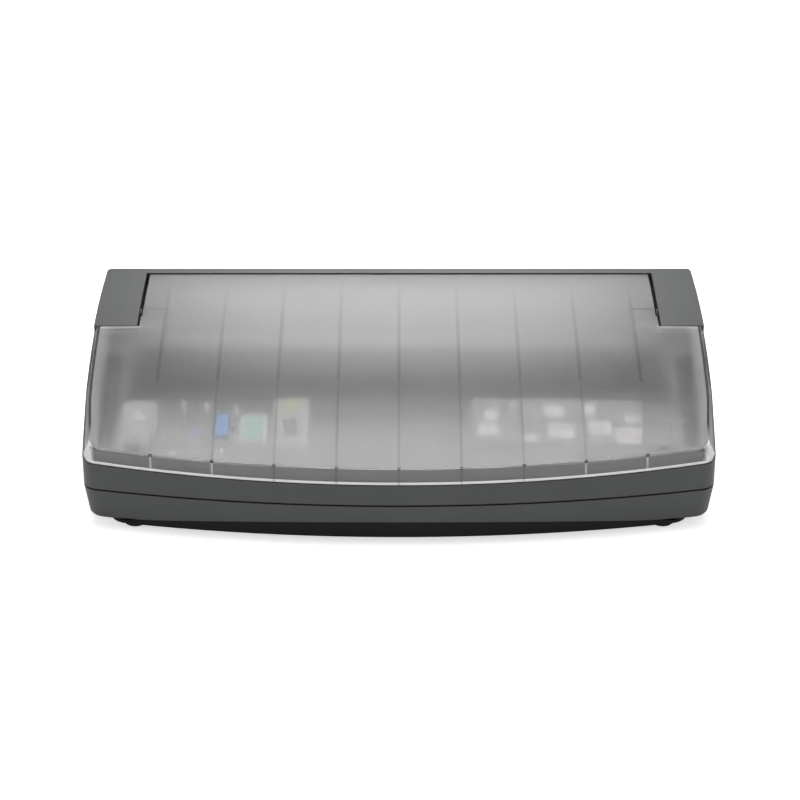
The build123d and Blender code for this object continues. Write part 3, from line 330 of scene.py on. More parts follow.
# %% [markdown]
# ## The cover's outline
#
# Everything that the cover's finish draws follows its outline: the lip along the bowed front,
# the narrow skirts at the sides and the rounded front corners. It could be painted on a UV map,
# but the cover is a CAD solid without one. Its front and its sides are arcs of large circles, so
# the distance of a point from them is a short sum on Object coordinates.

# %% The cover's outline
CASE_FRONT_Y = -116.0 * MM
BOW_RADIUS = 921.0 * MM
CASE_HALF = 220.0 * MM
SIDE_BOW_RADIUS = 2840.0 * MM
SIDE_BOW_Y = 33.5 * MM  # where the case is widest
CREASE_BEHIND = 3.2 * MM  # the crease between lip and top lies this far behind the front
CREASE_Z = 58.1 * MM
CREASE_RISE = 4.1 * MM  # how much higher the crease is at the case's side
LIP_HEIGHT = 12.0 * MM
CREASE_DEPTH = 1.5 * MM  # the highest part of the lip, where the sheet turns
SKIRT_Y = (-90 * MM, -47 * MM)  # the side skirts narrow between these
SKIRT_WIDTH = (5.9 * MM, 3.2 * MM)
CORNER_ROUND = 8.0 * MM  # the top's outline turns its front corners on this radius
SHOULDER_Y = 29.5 * MM  # behind this only the narrow tail of the cover is left


class CoverPlace:
    """Where a point of the cover lies, as signals.

    behind: y less the front's arc, y - front - r + sqrt(r^2 - x^2).
    from_side: the side's arc, found in the same way, less |x|.
    rise: height above the lip's lower edge, which rises with the square of x.
    inside: distance inside the top's outline. Near a corner it is the corner's radius less the
    distance from the corner's centre.
    """

    def __init__(self, finish):
        self.x, self.y, z = finish.axes()
        self.out = abs(self.x)
        front_arc = (BOW_RADIUS**2 - self.x * self.x).root()
        self.behind = self.y - (CASE_FRONT_Y + BOW_RADIUS) + front_arc
        from_bow = self.y - SIDE_BOW_Y
        side_arc = (SIDE_BOW_RADIUS**2 - from_bow * from_bow).root()
        self.from_side = side_arc - (SIDE_BOW_RADIUS - CASE_HALF) - self.out
        across = self.x * (1 / CASE_HALF)
        self.rise = z - (CREASE_Z - LIP_HEIGHT) - across * across * CREASE_RISE

        from_crease = CORNER_ROUND + CREASE_BEHIND - self.behind
        from_skirt = CORNER_ROUND - (self.from_side - self.y.ramp(*SKIRT_Y, *SKIRT_WIDTH))
        past_crease = from_crease * (from_crease > 0.0)
        past_skirt = from_skirt * (from_skirt > 0.0)
        self.inside = CORNER_ROUND - (past_crease * past_crease + past_skirt * past_skirt).root()

        self.on_lip = self.behind < CREASE_BEHIND
        self.crease_high = self.rise > LIP_HEIGHT - CREASE_DEPTH
        self.wide_part = self.y < SHOULDER_Y


print("crease in the middle and its rise to the sides (mm)", in_mm(CREASE_Z, CREASE_RISE))

# %% [markdown]
# ## Ribs that show through
#
# Nine ribs run under the cover from back to front, deep behind and shallow in front. Where a rib
# joins the sheet less light comes through, so it reads as a soft dark line, wide over a deep rib
# and narrow and faint over a shallow one. The ribs are real solids, but their blur hardly
# darkens the sheet, so the finish paints that shade into the sheet's colour, with a mask on the
# distance to the nearest rib.

# %% Shade of the ribs
RIB_PITCH = 42.3 * MM
RIB_REACH = 171.0 * MM  # the outermost ribs lie just inside
INNER_RIBS = 90.0 * MM  # ribs inside this look dark on the lip, those outside light
RIB_STEP_Y = (-34 * MM, -33 * MM)  # deep ribs behind, shallow ribs in front
RIB_CORE = 0.5 * MM  # half the width that is fully shaded
RIB_FADE = (1.3 * MM, 1.9 * MM)  # where the shade ends, over shallow and over deep ribs
DEEP_RIB_Y = (-30 * MM, 84 * MM)
DEEP_RIB_SHADE = (0.42, 0.1)
SHALLOW_RIB_X = (110 * MM, 165 * MM)
SHALLOW_RIB_SHADE = (0.26, 0.1)
RIB_END_Y = (92 * MM, 86 * MM)


def rib_shade(at):
    """Painted shade over the ribs: deep over the slot, fading to the back and towards the sides.
    """
    rib_edge = at.y.ramp(*RIB_STEP_Y, *RIB_FADE)
    soft_rib = at.x.to_nearest(RIB_PITCH).ramp(RIB_CORE, rib_edge, 1.0, 0.0)
    behind_step = at.y > RIB_STEP_Y[1]
    deep = behind_step * at.y.ramp(*DEEP_RIB_Y, *DEEP_RIB_SHADE)
    shallow = (1 - behind_step) * at.out.ramp(*SHALLOW_RIB_X, *SHALLOW_RIB_SHADE)
    shade = soft_rib * (at.out < RIB_REACH) * (deep + shallow)
    return shade * (1 - at.on_lip * (at.out > INNER_RIBS)) * at.y.ramp(*RIB_END_Y)


print(1 + 2 * int(RIB_REACH / RIB_PITCH), "ribs show through the cover")

# %% [markdown]
# ## The dark outline
#
# Just inside the edge of the cover's top runs a thin dark line, where the sheet turns down into
# its skirts and one looks along it instead of through it. It is strongest at the sides and fades
# towards the middle of the front, where a dark dot marks each rib's end. Modelled light gives
# only a hint of it, so line and dots are painted shade, drawn from the distance inside the
# outline.

# %% Shade of the outline
DOT_HALF = 1.2 * MM
DOT_LENGTH = 0.9 * MM
DOT_SHADE = 0.6
LINE_X = (50 * MM, 160 * MM)  # the front line starts at the first and is darkest at the second
LINE_BEHIND = (8 * MM, 22 * MM)  # behind the corners it turns into the side line
LINE_WIDTH = (0.8 * MM, 1.6 * MM)
LINE_OUTSIDE = 0.2 * MM
LINE_SHADE_FRONT = 0.55
LINE_SHADE_SIDE = 0.45  # added to the front line's


def painted_outline_shade(at):
    """Painted shade along the top's outline, from 0 in the middle of the front to 1 at the sides.
    """
    depth = at.out.ramp(*LINE_X, 0.0, LINE_SHADE_FRONT)
    depth = depth + at.behind.ramp(*LINE_BEHIND, 0.0, LINE_SHADE_SIDE)
    width = at.behind.ramp(*LINE_BEHIND, *LINE_WIDTH)
    line = (at.inside > -LINE_OUTSIDE) * (at.inside < width)
    return line * at.wide_part * depth * at.crease_high


def painted_rib_end_shade(at):
    """Painted shade in a dot at the front end of each rib, on the outline."""
    on_rib = (at.x.to_nearest(RIB_PITCH) < DOT_HALF) * (at.out < RIB_REACH)
    return on_rib * at.inside.within(-DOT_LENGTH, DOT_LENGTH) * at.crease_high * DOT_SHADE


print("width of the line in front and at the sides (mm)", in_mm(*LINE_WIDTH))

# %% [markdown]
# ## Edges that catch the light
#
# Light that enters the sheet runs along it and comes out where it is cut or bent. So the lower
# edge of the lip is nearly white, the crease above it is pale towards the sides, the front
# corners are bright patches, the outer ribs are light streaks on the lip, and the edges beside
# the shoulders are a little pale. A renderer would need very many samples to find these paths,
# so masks on the place paint these highlights: the sheet is milkier and whiter there.

# %% Light edges
EDGE_GLOW = 2.3 * MM  # height of the bright cut edge
EDGE_LIGHT = 0.75
CREASE_X = (90 * MM, 190 * MM)  # the crease gets light between these
CREASE_GAP = 0.1 * MM  # left dark along the top of the crease
CREASE_LIGHT = 0.5
CORNER_FROM_SIDE = (9 * MM, 6 * MM)
CORNER_BEHIND = 9 * MM
CORNER_OUTSIDE = 0.3 * MM
CORNER_LIGHT = 0.7
RIB_HALF = 0.75 * MM
RIB_LIGHT = 0.3
TAIL_HALF = 185.0 * MM  # half the width of the cover's tail, between the shoulders
SHOULDER_EDGE = (SHOULDER_Y - 3.4 * MM, SHOULDER_Y + 0.5 * MM)
SHOULDER_LIGHT = 0.22


def painted_edge_highlights(at):
    """How much painted highlight the sheet's edges get, from 0 to 1."""
    edge = at.on_lip * (at.rise < EDGE_GLOW)
    crease = at.on_lip * at.rise.within(LIP_HEIGHT - CREASE_DEPTH, LIP_HEIGHT - CREASE_GAP)
    crease = crease * at.out.ramp(*CREASE_X, 0.0, CREASE_LIGHT)
    corner = at.from_side.ramp(*CORNER_FROM_SIDE) * (at.behind < CORNER_BEHIND)
    corner = corner * (at.inside < -CORNER_OUTSIDE)
    rib = (at.x.to_nearest(RIB_PITCH) < RIB_HALF) * (at.out < RIB_REACH)
    rib = rib * at.on_lip * (at.out > INNER_RIBS)
    bright = (edge * EDGE_LIGHT + crease + corner * CORNER_LIGHT + rib * RIB_LIGHT).clamped()
    shoulder = at.y.within(*SHOULDER_EDGE) * (at.out > TAIL_HALF)
    return (bright + shoulder * SHOULDER_LIGHT).clamped()


print("height of the bright cut edge (mm)", in_mm(EDGE_GLOW))

# %% [markdown]
# ## Frosted cover
#
# The cover is a see-through plastic with a matt face. What lies close under it shows almost
# sharp, such as its own ribs; what lies deeper blurs, such as the keys, and the slot is only a
# dark band. A see-through shader with plain alpha would show all of it sharp. Rough transmission
# gives exactly this blur: each ray is bent by a random small angle, and the further it then
# travels, the wider the blur.
#
# The frosting also scatters light back and looks milky. So a second, matt shader is mixed in: a
# small share all over, more on the lip and along the sides, where one looks through more plastic,
# and most where the edges catch the light. Its colour is white there, for painted highlights, and
# a dark grey on the lip, for painted shade; the painted shade of the ribs and the outline darkens
# it too.

# %% Milk in the cover
MILK_SHARE = 0.05
MILK_CLOUDS = 0.04  # how much the share varies from place to place
MILK_CLOUDS_PER_METRE = 60.0
LIP_HAZE = 0.5
SIDE_HAZE_FROM_SIDE = (14 * MM, 6 * MM)
SIDE_HAZE = 0.2
LINE_HAZE = 1.2  # the dark outline hides what is under it


def milk_share(finish, at, bright, line):
    """How much of the matt shader shows, from 0 to 1."""
    cloud = finish.noise(MILK_CLOUDS_PER_METRE, detail=3.0)
    hazy_lip = at.on_lip * (1 - bright) * LIP_HAZE
    hazy_side = at.from_side.ramp(*SIDE_HAZE_FROM_SIDE, 0.0, SIDE_HAZE)
    hazy_side = hazy_side * (at.inside > 0.0) * at.wide_part
    share = MILK_SHARE + (cloud - 0.5) * MILK_CLOUDS + bright + hazy_lip + hazy_side
    return (share + line * LINE_HAZE).clamped()


print("milk is", MILK_SHARE, "of the sheet and", LIP_HAZE, "more of the lip")

# %% Frosted see-through plastic
SHEET_TINT = (0.94, 0.94, 0.94)
SHEET_ROUGHNESS = 0.28  # how fast things under the cover blur
SHEET_IOR = 1.46
MILK_TOP = (0.78, 0.78, 0.78)
MILK_LIP_SHADE = (0.30, 0.30, 0.30)
PAINTED_HIGHLIGHT_WHITE = (0.95, 0.95, 0.94)
MILK_ROUGHNESS = 0.6
EDGE_WHITENESS = 1.6  # an edge's milk is fully white before the edge is fully bright
SHADE_GREY = (0.08, 0.08, 0.08)
MOTTLE = 1.1 * MM
MOTTLE_DEPTH = 0.012 * MM
MOTTLE_STRENGTH = 0.4


def frosted_plastic():
    """Milky see-through plastic that blurs what is under it, with painted shade and highlights.
    """
    finish = Finish("frosted_cover_plastic", SHEET_TINT, SHEET_ROUGHNESS, IOR=SHEET_IOR)
    finish.set("Transmission Weight", 1.0)
    at = CoverPlace(finish)
    line, bright = painted_outline_shade(at), painted_edge_highlights(at)
    # Painted shade over the ribs, at their front ends and along the outline.
    shade = (rib_shade(at) + painted_rib_end_shade(at) + line).clamped()
    finish.set("Base Color", finish.blend(shade, SHEET_TINT, SHADE_GREY))
    finish.bump(finish.noise(1.0 / MOTTLE, detail=2.0), MOTTLE_DEPTH, MOTTLE_STRENGTH)

    # On the lip the matt shader is a dark grey, painted shade.
    milk_white = finish.blend(at.on_lip, MILK_TOP, MILK_LIP_SHADE)
    # Where the edges get painted highlights, the matt shader turns white.
    white = finish.blend((bright * EDGE_WHITENESS).clamped(), milk_white, PAINTED_HIGHLIGHT_WHITE)
    milk_inputs = {
        "Base Color": finish.blend(shade, white, SHADE_GREY),
        "Roughness": MILK_ROUGHNESS,
        "Specular IOR Level": 0.0,
        "Normal": finish.linked("Normal"),
    }
    milk = finish.add("ShaderNodeBsdfPrincipled", inputs=milk_inputs)
    clear = Signal(finish, finish.shader.outputs[0])
    mix_inputs = {0: milk_share(finish, at, bright, line), 1: clear, 2: milk}
    mixed = finish.add("ShaderNodeMixShader", inputs=mix_inputs)
    finish.feed(finish.tree.nodes["Material Output"].inputs["Surface"], mixed)
    return finish.material


frosted = frosted_plastic()
print(frosted.name, "has", len(frosted.node_tree.nodes), "nodes")

# %% [markdown]
# ## Metal
#
# Little metal shows while the cover is closed, and all of it is in the machine: the drawn
# heat sink, the coated plate at the bottom of the slot, plated steel and the contacts of the
# inlet. Rolling and drawing leave fine streaks. A noise that is stretched along the machine's
# length gives them, in the roughness and as a very low bump.

# %% Metals
STREAK_SHINE = 0.2  # how much the roughness varies
STREAK_DEPTH = 0.01 * MM
STREAK_STRENGTH = 0.4


def streaked_metal(name, colour, roughness, across=400.0, along=12.0):
    """Metal with fine streaks along the machine's length, so many per metre each way."""
    finish = Finish(name, colour, roughness, Metallic=1.0)
    stretch = {"Vector": finish.place(), "Scale": (along, across, across)}
    streaks = finish.noise(1.0, detail=3.0, at=finish.add("ShaderNodeMapping", inputs=stretch))
    finish.set("Roughness", roughness + (streaks - 0.5) * STREAK_SHINE)
    finish.bump(streaks, STREAK_DEPTH, STREAK_STRENGTH)
    return finish.material


aluminium = streaked_metal("drawn_aluminium", (0.80, 0.80, 0.81), 0.35)
coated_plate = streaked_metal("coated_heating_plate", (0.09, 0.09, 0.09), 0.45)
# The hinge pins are painted nearly black, as painted shade in the notches where they show.
pin_shade_steel = streaked_metal("pin_steel_painted_dark", (0.03, 0.03, 0.03), 0.5, 300.0, 30.0)
steel = streaked_metal("plated_steel", (0.62, 0.62, 0.63), 0.4, 300.0, 30.0)
brass = streaked_metal("nickelled_brass", (0.72, 0.66, 0.52), 0.3)
print("made", aluminium.name, coated_plate.name, pin_shade_steel.name, steel.name, brass.name)

# %% [markdown]
# ## Films, sheets and small parts
#
# The labels are printed films, the keys and the lamp smooth tinted mouldings, the boards a green
# mask over glass cloth. A film differs from a moulding by its slight mottle instead of a grain,
# so it gets a recipe of its own, and the mouldings use the grained plastic with another grain.

# %% Films and small mouldings
FILM_MOTTLES_PER_METRE = 900.0
FILM_LIGHTER = 1.04
FILM_DEPTH = 0.01 * MM
FILM_STRENGTH = 0.3


def film(name, colour, roughness=0.45):
    """Printed plastic film or thin sheet with a slight mottle."""
    finish = Finish(name, colour, roughness)
    mottle = finish.noise(FILM_MOTTLES_PER_METRE, detail=2.0)
    finish.set("Base Color", finish.blend(mottle, colour, scaled(colour, FILM_LIGHTER)))
    finish.bump(mottle, FILM_DEPTH, FILM_STRENGTH)
    return finish.material


def keyed_plastic(name, colour, roughness=0.35):
    """Smooth tinted plastic of a key or a lens."""
    return grained_plastic(name, colour, roughness, grain=0.6, depth=0.01, wear=0.03).material


board = grained_plastic("board_mask", (0.02, 0.14, 0.06), 0.35, grain=1.2).material
mica = film("mica_sheet", (0.45, 0.36, 0.22), 0.5)
wool = film("mineral_wool", (0.62, 0.58, 0.46), 0.95)
component = keyed_plastic("component_black", (0.03, 0.03, 0.03), 0.5)
component_blue = keyed_plastic("component_blue", (0.04, 0.12, 0.42), 0.5)
label_light = film("label_film", (0.62, 0.62, 0.615))
guide_film = film("guide_film", (0.48, 0.475, 0.475))
bezel_film = film("bezel_film", (0.93, 0.93, 0.92))
plate_film = film("plate_film", (0.42, 0.42, 0.42), 0.4)
blue_key = keyed_plastic("blue_key", (0.22, 0.46, 0.97))
green_key = keyed_plastic("green_key", (0.50, 0.80, 0.74))
lamp_yellow = keyed_plastic("lamp_lens", (0.66, 0.70, 0.34), 0.3)
lead_black = keyed_plastic("lead_black", (0.02, 0.02, 0.02), 0.55)
lead_white = keyed_plastic("lead_white", (0.62, 0.61, 0.58), 0.55)
print(len(bpy.data.materials), "materials so far")

# %% [markdown]
# ## Handing out the finishes
#
# Each solid of the CAD model is a node with a name. A solid keeps its mesh and its place, and
# only the material in its slots is changed, so a table from node to finish is all it takes.

# %% Dress the CAD nodes
FINISHES = {
    "top_case": grey_case,
    "lower_case": grey_case,
    "bottom_pan": black_pan,
    "feet": rubber,
    "cover_bumpers": clear_rubber,
    "cover": frosted,
    "deck": deck_grey,
    "rear_trough": deck_grey,
    "slot_liner": black_moulding,
    "hinge_bushes": black_moulding,
    "inlet_socket": black_moulding,
    "switch_housing": black_moulding,
    "switch_rocker": black_moulding,
    "heating_plate": coated_plate,
    "heat_sink": aluminium,
    "heater_element": mica,
    "insulation_pad": wool,
    "heater_tray": steel,
    # near-black pins: painted shade in the notches
    "hinge_pins": pin_shade_steel,
    "pan_screws": steel,
    "column_screws": steel,
    "board_screws": steel,
    "thermal_fuse": steel,
    "inlet_contacts": brass,
    "thermostat": component,
    "plate_sensor": component,
    "control_chip": component,
    "tact_switches": component,
    "transformer": component,
    "heater_relay": component,
    "capacitors": component,
    "terminal_block": component_blue,
    "control_board": board,
    "power_board": board,
    "control_label": label_light,
    "notice_label": label_light,
    "guide_label": guide_film,
    "start_key_bezel": bezel_film,
    "rating_plate": plate_film,
    "mode_key": blue_key,
    "start_key": green_key,
    "lamp_lens": lamp_yellow,
    "ready_led": lamp_yellow,
    "mains_leads": lead_black,
    "panel_cable": lead_black,
    "heater_leads": lead_white,
}
for node in frame["nodes"]:
    if node not in FINISHES:
        print("no finish for", node)
    for slot in bpy.data.objects[node].material_slots:
        slot.material = FINISHES.get(node, grey_case)
print(len(FINISHES), "nodes dressed")

# %% [markdown]
# ## Surfaces for the prints
#
# The film on the right of the deck shows, step by step, how a document is bound, and small marks
# stand beside the keys. Each mark is a thin print that lies on the deck's arched surface. It
# could be an image, but a small mesh of its own stays sharp and needs no picture file. All of
# them come from one outline: a superellipse is an oval at squareness 2 and a rectangle with
# rounded corners at 9, and a taper draws its far end together, down to the point of an arrow.


# %% Grids and outlines
def grid_surface(name, points, material):
    """A mesh from a grid of points: neighbours along both directions are joined by quads."""
    rows, columns, _ = points.shape
    corner = (np.arange(rows - 1)[:, None] * columns + np.arange(columns - 1)).ravel()
    faces = np.stack([corner, corner + 1, corner + columns + 1, corner + columns], axis=1)
    mesh = bpy.data.meshes.new(name)
    mesh.from_pydata(points.reshape(-1, 3).tolist(), [], faces.tolist())
    mesh.materials.append(material)
    mesh.shade_smooth()
    made = bpy.data.objects.new(name, mesh)
    bpy.context.scene.collection.objects.link(made)
    return made


def rings(inner, outer, count, corners):
    """Radius and angle of points on rings; the angle runs backwards, so that faces look up."""
    radii, angles = np.linspace(inner, outer, count), np.linspace(2 * np.pi, 0, corners + 1)
    return np.meshgrid(radii, angles, indexing="ij")


def superellipse(width, length, squareness, taper):
    """Rings of points that fill a superellipse.

    At angle a its rim lies at (|cos a|^n + |sin a|^n)^(-1/n) times the half sizes.
    """
    ring, angle = rings(0, 1, 5, 64)
    across, along = np.cos(angle), np.sin(angle)
    rim = (abs(across) ** squareness + abs(along) ** squareness) ** (-1 / squareness)
    u, v = ring * rim * across, ring * rim * along
    return u * (1 - taper * (v + 1) / 2) * width / 2, v * length / 2


print("an outline has", superellipse(1, 1, 2, 0)[0].size, "points")

# %% The deck's surface and the prints on it
CROWN_TOP_Y = 112.0 * MM
CROWN_TOP_Z = 106.9 * MM
CREASE_BACK = 3.0 * MM
DECK_DROP = 12.0 * MM  # the deck's surface lies this far under the cover's
FILM_THICKNESS = 0.5 * MM
PRINT_RISE = 0.12 * MM  # a print's face over what it is printed on


def deck_height(x, y, drop):
    """Height of the arched surface lowered by a drop.

    Each section is an arc from the crown to the crease: z = c + sqrt((r - drop)^2 - (y - y0)^2).
    """
    front = CASE_FRONT_Y + BOW_RADIUS - np.sqrt(BOW_RADIUS**2 - x**2)
    reach = CROWN_TOP_Y - front - CREASE_BACK
    fall = CROWN_TOP_Z - CREASE_Z - CREASE_RISE * (x / CASE_HALF) ** 2
    radius = (reach**2 + fall**2) / (2 * fall)
    return CROWN_TOP_Z - radius + np.sqrt((radius - drop) ** 2 - (y - CROWN_TOP_Y) ** 2)


def deck_print(name, place, size, squareness, finish, turn=0.0, taper=0.0, on_film=True, layer=1):
    """A print on the deck or on a film that lies on it; place and size are in millimetres.

    It is turned by degrees, its far end is narrowed by the taper, from 0 to 1, and a print on
    another print is on layer 2.
    """
    width, length = size
    u, v = superellipse(width * MM, length * MM, squareness, taper)
    angle = math.radians(turn)
    x = place[0] * MM + u * math.cos(angle) - v * math.sin(angle)
    y = place[1] * MM + u * math.sin(angle) + v * math.cos(angle)
    rise = layer * PRINT_RISE + on_film * FILM_THICKNESS
    points = np.stack([x, y, deck_height(x, y, DECK_DROP - rise)], axis=2)
    piece = grid_surface(name, points, finish)
    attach(piece, "chassis")


def added():
    """How many meshes the scene has besides the CAD nodes."""
    return sum(made.type == "MESH" for made in bpy.data.objects) - len(frame["nodes"])


print("height of the deck's crown (mm)", in_mm(deck_height(0.0, CROWN_TOP_Y, DECK_DROP)))

# %% [markdown]
# ## Pictures on the guide film
#
# From left to right: sheets go into an empty cover, a key is pressed, the document stands in the
# machine, and it cools for a while before it is finished. Seen through the frosted cover they
# are only pale patches, so each is a plain card or oval in a pale ink, with one detail at most.
# Each call gives the middle (x, y) and the size (across, along) in millimetres.

# %% Pictures on the guide film
OVAL = 2
ROUNDED = 4
CARD = 9
ink_white = film("ink_white", (0.93, 0.93, 0.92))
ink_rose = film("ink_rose", (0.80, 0.62, 0.62))
ink_pale = film("ink_pale", (0.72, 0.69, 0.70))
ink_blush = film("ink_blush", (0.92, 0.87, 0.88))
ink_dark = film("ink_dark", (0.10, 0.10, 0.11))
ink_grey = film("ink_grey", (0.36, 0.36, 0.36))
ink_violet = film("ink_violet", (0.42, 0.42, 0.66))

deck_print("loose_sheets", (64.0, -54.5), (9.5, 11.0), ROUNDED, ink_white)
deck_print("empty_cover", (62.0, -67.0), (14.5, 11.5), CARD, ink_white)
deck_print("empty_cover_spine", (62.0, -67.0), (0.8, 11.5), CARD, ink_grey, layer=2)
deck_print("insert_arrow", (79.5, -46.0), (6.0, 6.0), CARD, ink_rose, turn=180, taper=1.0)
deck_print("insert_arrow_shaft", (79.5, -41.8), (2.0, 3.0), CARD, ink_rose)
deck_print("closed_cover", (93.5, -53.5), (4.0, 8.0), CARD, ink_pale)
deck_print("key_picture", (90.6, -74.0), (9.0, 7.5), ROUNDED, ink_white)
deck_print("key_picture_spot", (90.6, -74.0), (1.6, 1.6), OVAL, ink_grey, layer=2)
deck_print("bound_document", (108.0, -49.5), (14.5, 12.5), CARD, ink_white, turn=-8)
deck_print("machine_picture", (112.0, -67.0), (18.0, 13.0), CARD, ink_white)
deck_print("machine_picture_slot", (112.0, -65.2), (11.5, 0.8), CARD, ink_grey, layer=2)
deck_print("standing_document", (133.0, -47.5), (7.0, 14.0), CARD, ink_white)
deck_print("cooling_machine", (139.0, -64.0), (15.5, 12.0), CARD, ink_white)
deck_print("cooling_machine_lamp", (140.0, -63.5), (5.0, 4.0), OVAL, ink_rose, layer=2)
deck_print("clock", (161.0, -54.5), (9.5, 8.5), OVAL, ink_white)
deck_print("clock_hand", (161.0, -52.8), (0.7, 2.6), CARD, ink_dark, layer=2)
deck_print("finished_document", (158.0, -69.5), (19.0, 14.5), ROUNDED, ink_blush)
deck_print("finished_document_edge", (149.8, -69.5), (0.8, 11.0), CARD, ink_rose, layer=2)
print(added(), "prints so far")

# %% [markdown]
# ## Marks beside the keys
#
# A white surround frames the start key, and small pale marks beside the narrow key stand for the
# steps that it switches through. Those that lie on the deck itself are set half a millimetre
# lower than those on a film. The surround follows the bezel's box, wherever that is.

# %% Marks beside the keys
SURROUND = 1.0  # how much larger than the bezel the surround is, in millimetres

# A grey bar across the deck, in front of the pictures, is painted shadow.
deck_print("painted_shadow_bar", (68.0, -83.5), (30.0, 4.5), ROUNDED, ink_grey, on_film=False)
bezel_low, bezel_high = (np.array(corner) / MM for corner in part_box("start_key_bezel"))
bezel_middle, bezel_size = (bezel_low + bezel_high) / 2, bezel_high - bezel_low
surround = bezel_size[:2] + SURROUND
deck_print("start_key_surround", bezel_middle, surround, CARD, ink_white, on_film=False)
deck_print("lamp_picture", (-75.0, -64.0), (9.5, 15.0), ROUNDED, ink_grey)
for index, place in enumerate([(-150.0, -43.0), (-134.0, -44.0), (-113.6, -48.0)]):
    name = "thickness_mark_%d" % index
    deck_print(name, place, (3.5, 9.0), CARD, ink_pale, on_film=False)
for index, place in enumerate([(-155.5, -84.0), (-141.0, -84.0), (-122.5, -84.0)]):
    name = "step_mark_%d" % index
    deck_print(name, place, (6.0, 4.0), OVAL, ink_white, on_film=False)
deck_print("hot_surface_mark", (-140.5, -67.0), (10.0, 8.0), ROUNDED, ink_violet, on_film=False)
deck_print("notice_picture", (-181.0, -50.0), (12.0, 11.0), CARD, ink_white, taper=1.0)
print(added(), "prints so far")

# %% [markdown]
# ## Marks on the rocker
#
# The rocker of the mains switch carries a bar and a ring for on and off. Its face is a shallow V,
# and the whole rocker is turned about its upright pivot, so each mark is made flat, laid on its
# half of the V and then turned with the rocker. It rides on the rocker, so it moves with it.

# %% Marks on the rocker
ROCKER_X = 106.0 * MM
ROCKER_PIVOT_Y = 110.0 * MM
ROCKER_Z = 42.0 * MM
ROCKER_HALF = 7.7 * MM
ROCKER_FACE = 3.2 * MM  # from the pivot to the bottom of the V
ROCKER_TURN = math.radians(10.0)
BAR_WIDTH, BAR_LENGTH = 0.7 * MM, 4.2 * MM
RING_INNER, RING_OUTER = 1.5 * MM, 2.1 * MM


def rocker_mark(name, side, u, v):
    """Points (u, v) on one half of the V: both face outward, to the rear."""
    slope = side * ROCKER_TURN
    x = side * ROCKER_HALF / 2 + u * math.cos(slope)
    y = ROCKER_FACE + ROCKER_HALF / 2 * math.sin(ROCKER_TURN) + u * math.sin(slope) + PRINT_RISE
    turned_x = ROCKER_X + x * math.cos(ROCKER_TURN) - y * math.sin(ROCKER_TURN)
    turned_y = ROCKER_PIVOT_Y + x * math.sin(ROCKER_TURN) + y * math.cos(ROCKER_TURN)
    piece = grid_surface(name, np.stack([turned_x, turned_y, ROCKER_Z + v], axis=2), ink_white)
    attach(piece, "rocker")


bar_u, bar_v = superellipse(BAR_WIDTH, BAR_LENGTH, CARD, taper=0.0)
rocker_mark("on_bar", 1, bar_u, bar_v)
ring, angle = rings(RING_INNER, RING_OUTER, 3, 48)
rocker_mark("off_ring", -1, ring * np.cos(angle), ring * np.sin(angle))
print(added(), "prints and marks in all")

# %% [markdown]
# ## Floor
#
# The machine stands on a wide white floor. Lamps strong enough to make it white everywhere would
# bleach the machine, so the floor glows a little, for the camera alone: Light Path says whether a
# ray comes from the camera. The machine's shadow stays.

# %% Floor
FLOOR_LIFT = 0.62
FLOOR_REACH = 6.0  # metres
FLOOR_LINES = 13


def white_floor():
    """Pale floor, lifted a little for the camera, so that it is white where nothing shades it."""
    finish = Finish("white_floor", (0.93, 0.93, 0.93), 0.9)
    seen = finish.add("ShaderNodeLightPath", output="Is Camera Ray")
    finish.set("Emission Color", finish.blend(seen, (0, 0, 0), (1, 1, 1)))
    finish.set("Emission Strength", FLOOR_LIFT)
    return finish.material


steps = np.linspace(-FLOOR_REACH, FLOOR_REACH, FLOOR_LINES)
floor_x, floor_y = np.meshgrid(steps, steps)
floor = grid_surface("floor", np.stack([floor_x, floor_y, floor_x * 0], axis=2), white_floor())
print("floor", 2 * FLOOR_REACH, "m wide")

# %% [markdown]
# ## Lamps
#
# A broad lamp overhead lights the cover and the deck evenly. A tall one behind the machine, like
# a bright wall, gives the cover's slope its soft sheen. Two weak lamps in front, left and right,
# bring up the bowed front and the sides. All four are large, because small ones would draw hard
# shadows, which the photograph doesn't show.


# %% Lamps
def area_light(name, place, target, size, watts):
    """A rectangular lamp at a place, aimed at a target; all in metres."""
    data = bpy.data.lights.new(name, "AREA")
    data.shape = "RECTANGLE"
    data.size, data.size_y = size
    data.energy = watts
    lamp = bpy.data.objects.new(name, data)
    bpy.context.scene.collection.objects.link(lamp)
    lamp.location = place
    lamp.rotation_euler = (Vector(target) - Vector(place)).to_track_quat("-Z", "Y").to_euler()
    print(name, watts, "W")


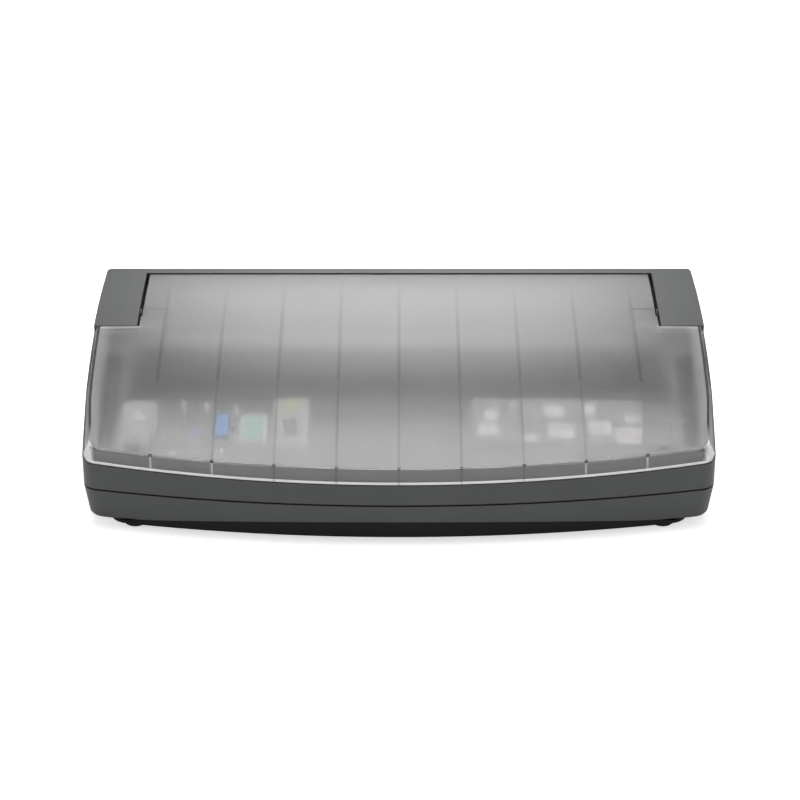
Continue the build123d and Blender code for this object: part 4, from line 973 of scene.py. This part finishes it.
area_light("overhead", (0.0, 0.1, 1.6), (0, 0, 0), (1.2, 0.9), 14.5)
area_light("rear_wall", (0.0, 1.32, 1.2), (0, 0, 0.1), (0.70, 0.96), 9.2)
area_light("left_fill", (-1.5, -1.3, 0.7), (0, 0, 0.05), (0.9, 0.9), 3.7)
area_light("right_fill", (1.5, -1.3, 0.7), (0, 0, 0.05), (0.9, 0.9), 3.7)

# %% [markdown]
# ## World
#
# The world is plain white where the camera sees it. To the machine it is dimmer: for diffuse
# light, so that it fills the shadows without flattening them, and dimmer still for reflections,
# so that the dark case stays dark. Light Path tells these kinds of ray apart.

# %% World
WORLD_DIFFUSE = 0.42
WORLD_GLOSS = 0.2
WORLD_SEEN = 1.0

world = bpy.data.worlds.new("studio")
bpy.context.scene.world = world
world.use_nodes = True
sky = Nodes(world.node_tree)
glossy = sky.add("ShaderNodeLightPath", output="Is Glossy Ray")
seen = sky.add("ShaderNodeLightPath", output="Is Camera Ray")
strength = WORLD_DIFFUSE + glossy * (WORLD_GLOSS - WORLD_DIFFUSE)
strength = strength + seen * (WORLD_SEEN - WORLD_DIFFUSE)
background = world.node_tree.nodes["Background"]
sky.feed(background.inputs["Strength"], strength)
sky.feed(background.inputs["Color"], (1.0, 1.0, 1.0, 1.0))
print("world", world.name, "has", len(world.node_tree.nodes), "nodes")

# %% [markdown]
# ## Camera
#
# The photograph was taken from in front and a little above with a long lens, which keeps the
# sides nearly straight. The camera's place, slope and lens were fitted to the ends of the slot,
# the ribs and the outline, so that the render and the photograph lie on each other.

# %% Camera
CAMERA_PLACE = (0.0007, -1.517, 0.7945)
CAMERA_DOWN = math.radians(26.0)
SENSOR_WIDTH = 36.0  # mm
LENS = 105.8  # mm

camera_data = bpy.data.cameras.new("camera")
camera_data.sensor_width = SENSOR_WIDTH
camera_data.lens = LENS
camera = bpy.data.objects.new("camera", camera_data)
bpy.context.scene.collection.objects.link(camera)
camera.location = CAMERA_PLACE
camera.rotation_euler = (math.pi / 2 - CAMERA_DOWN, 0.0, 0.0)
bpy.context.scene.camera = camera
bpy.context.scene.view_settings.view_transform = "Standard"
print("the camera sees", round(math.degrees(camera_data.angle), 2), "degrees")

# %% [markdown]
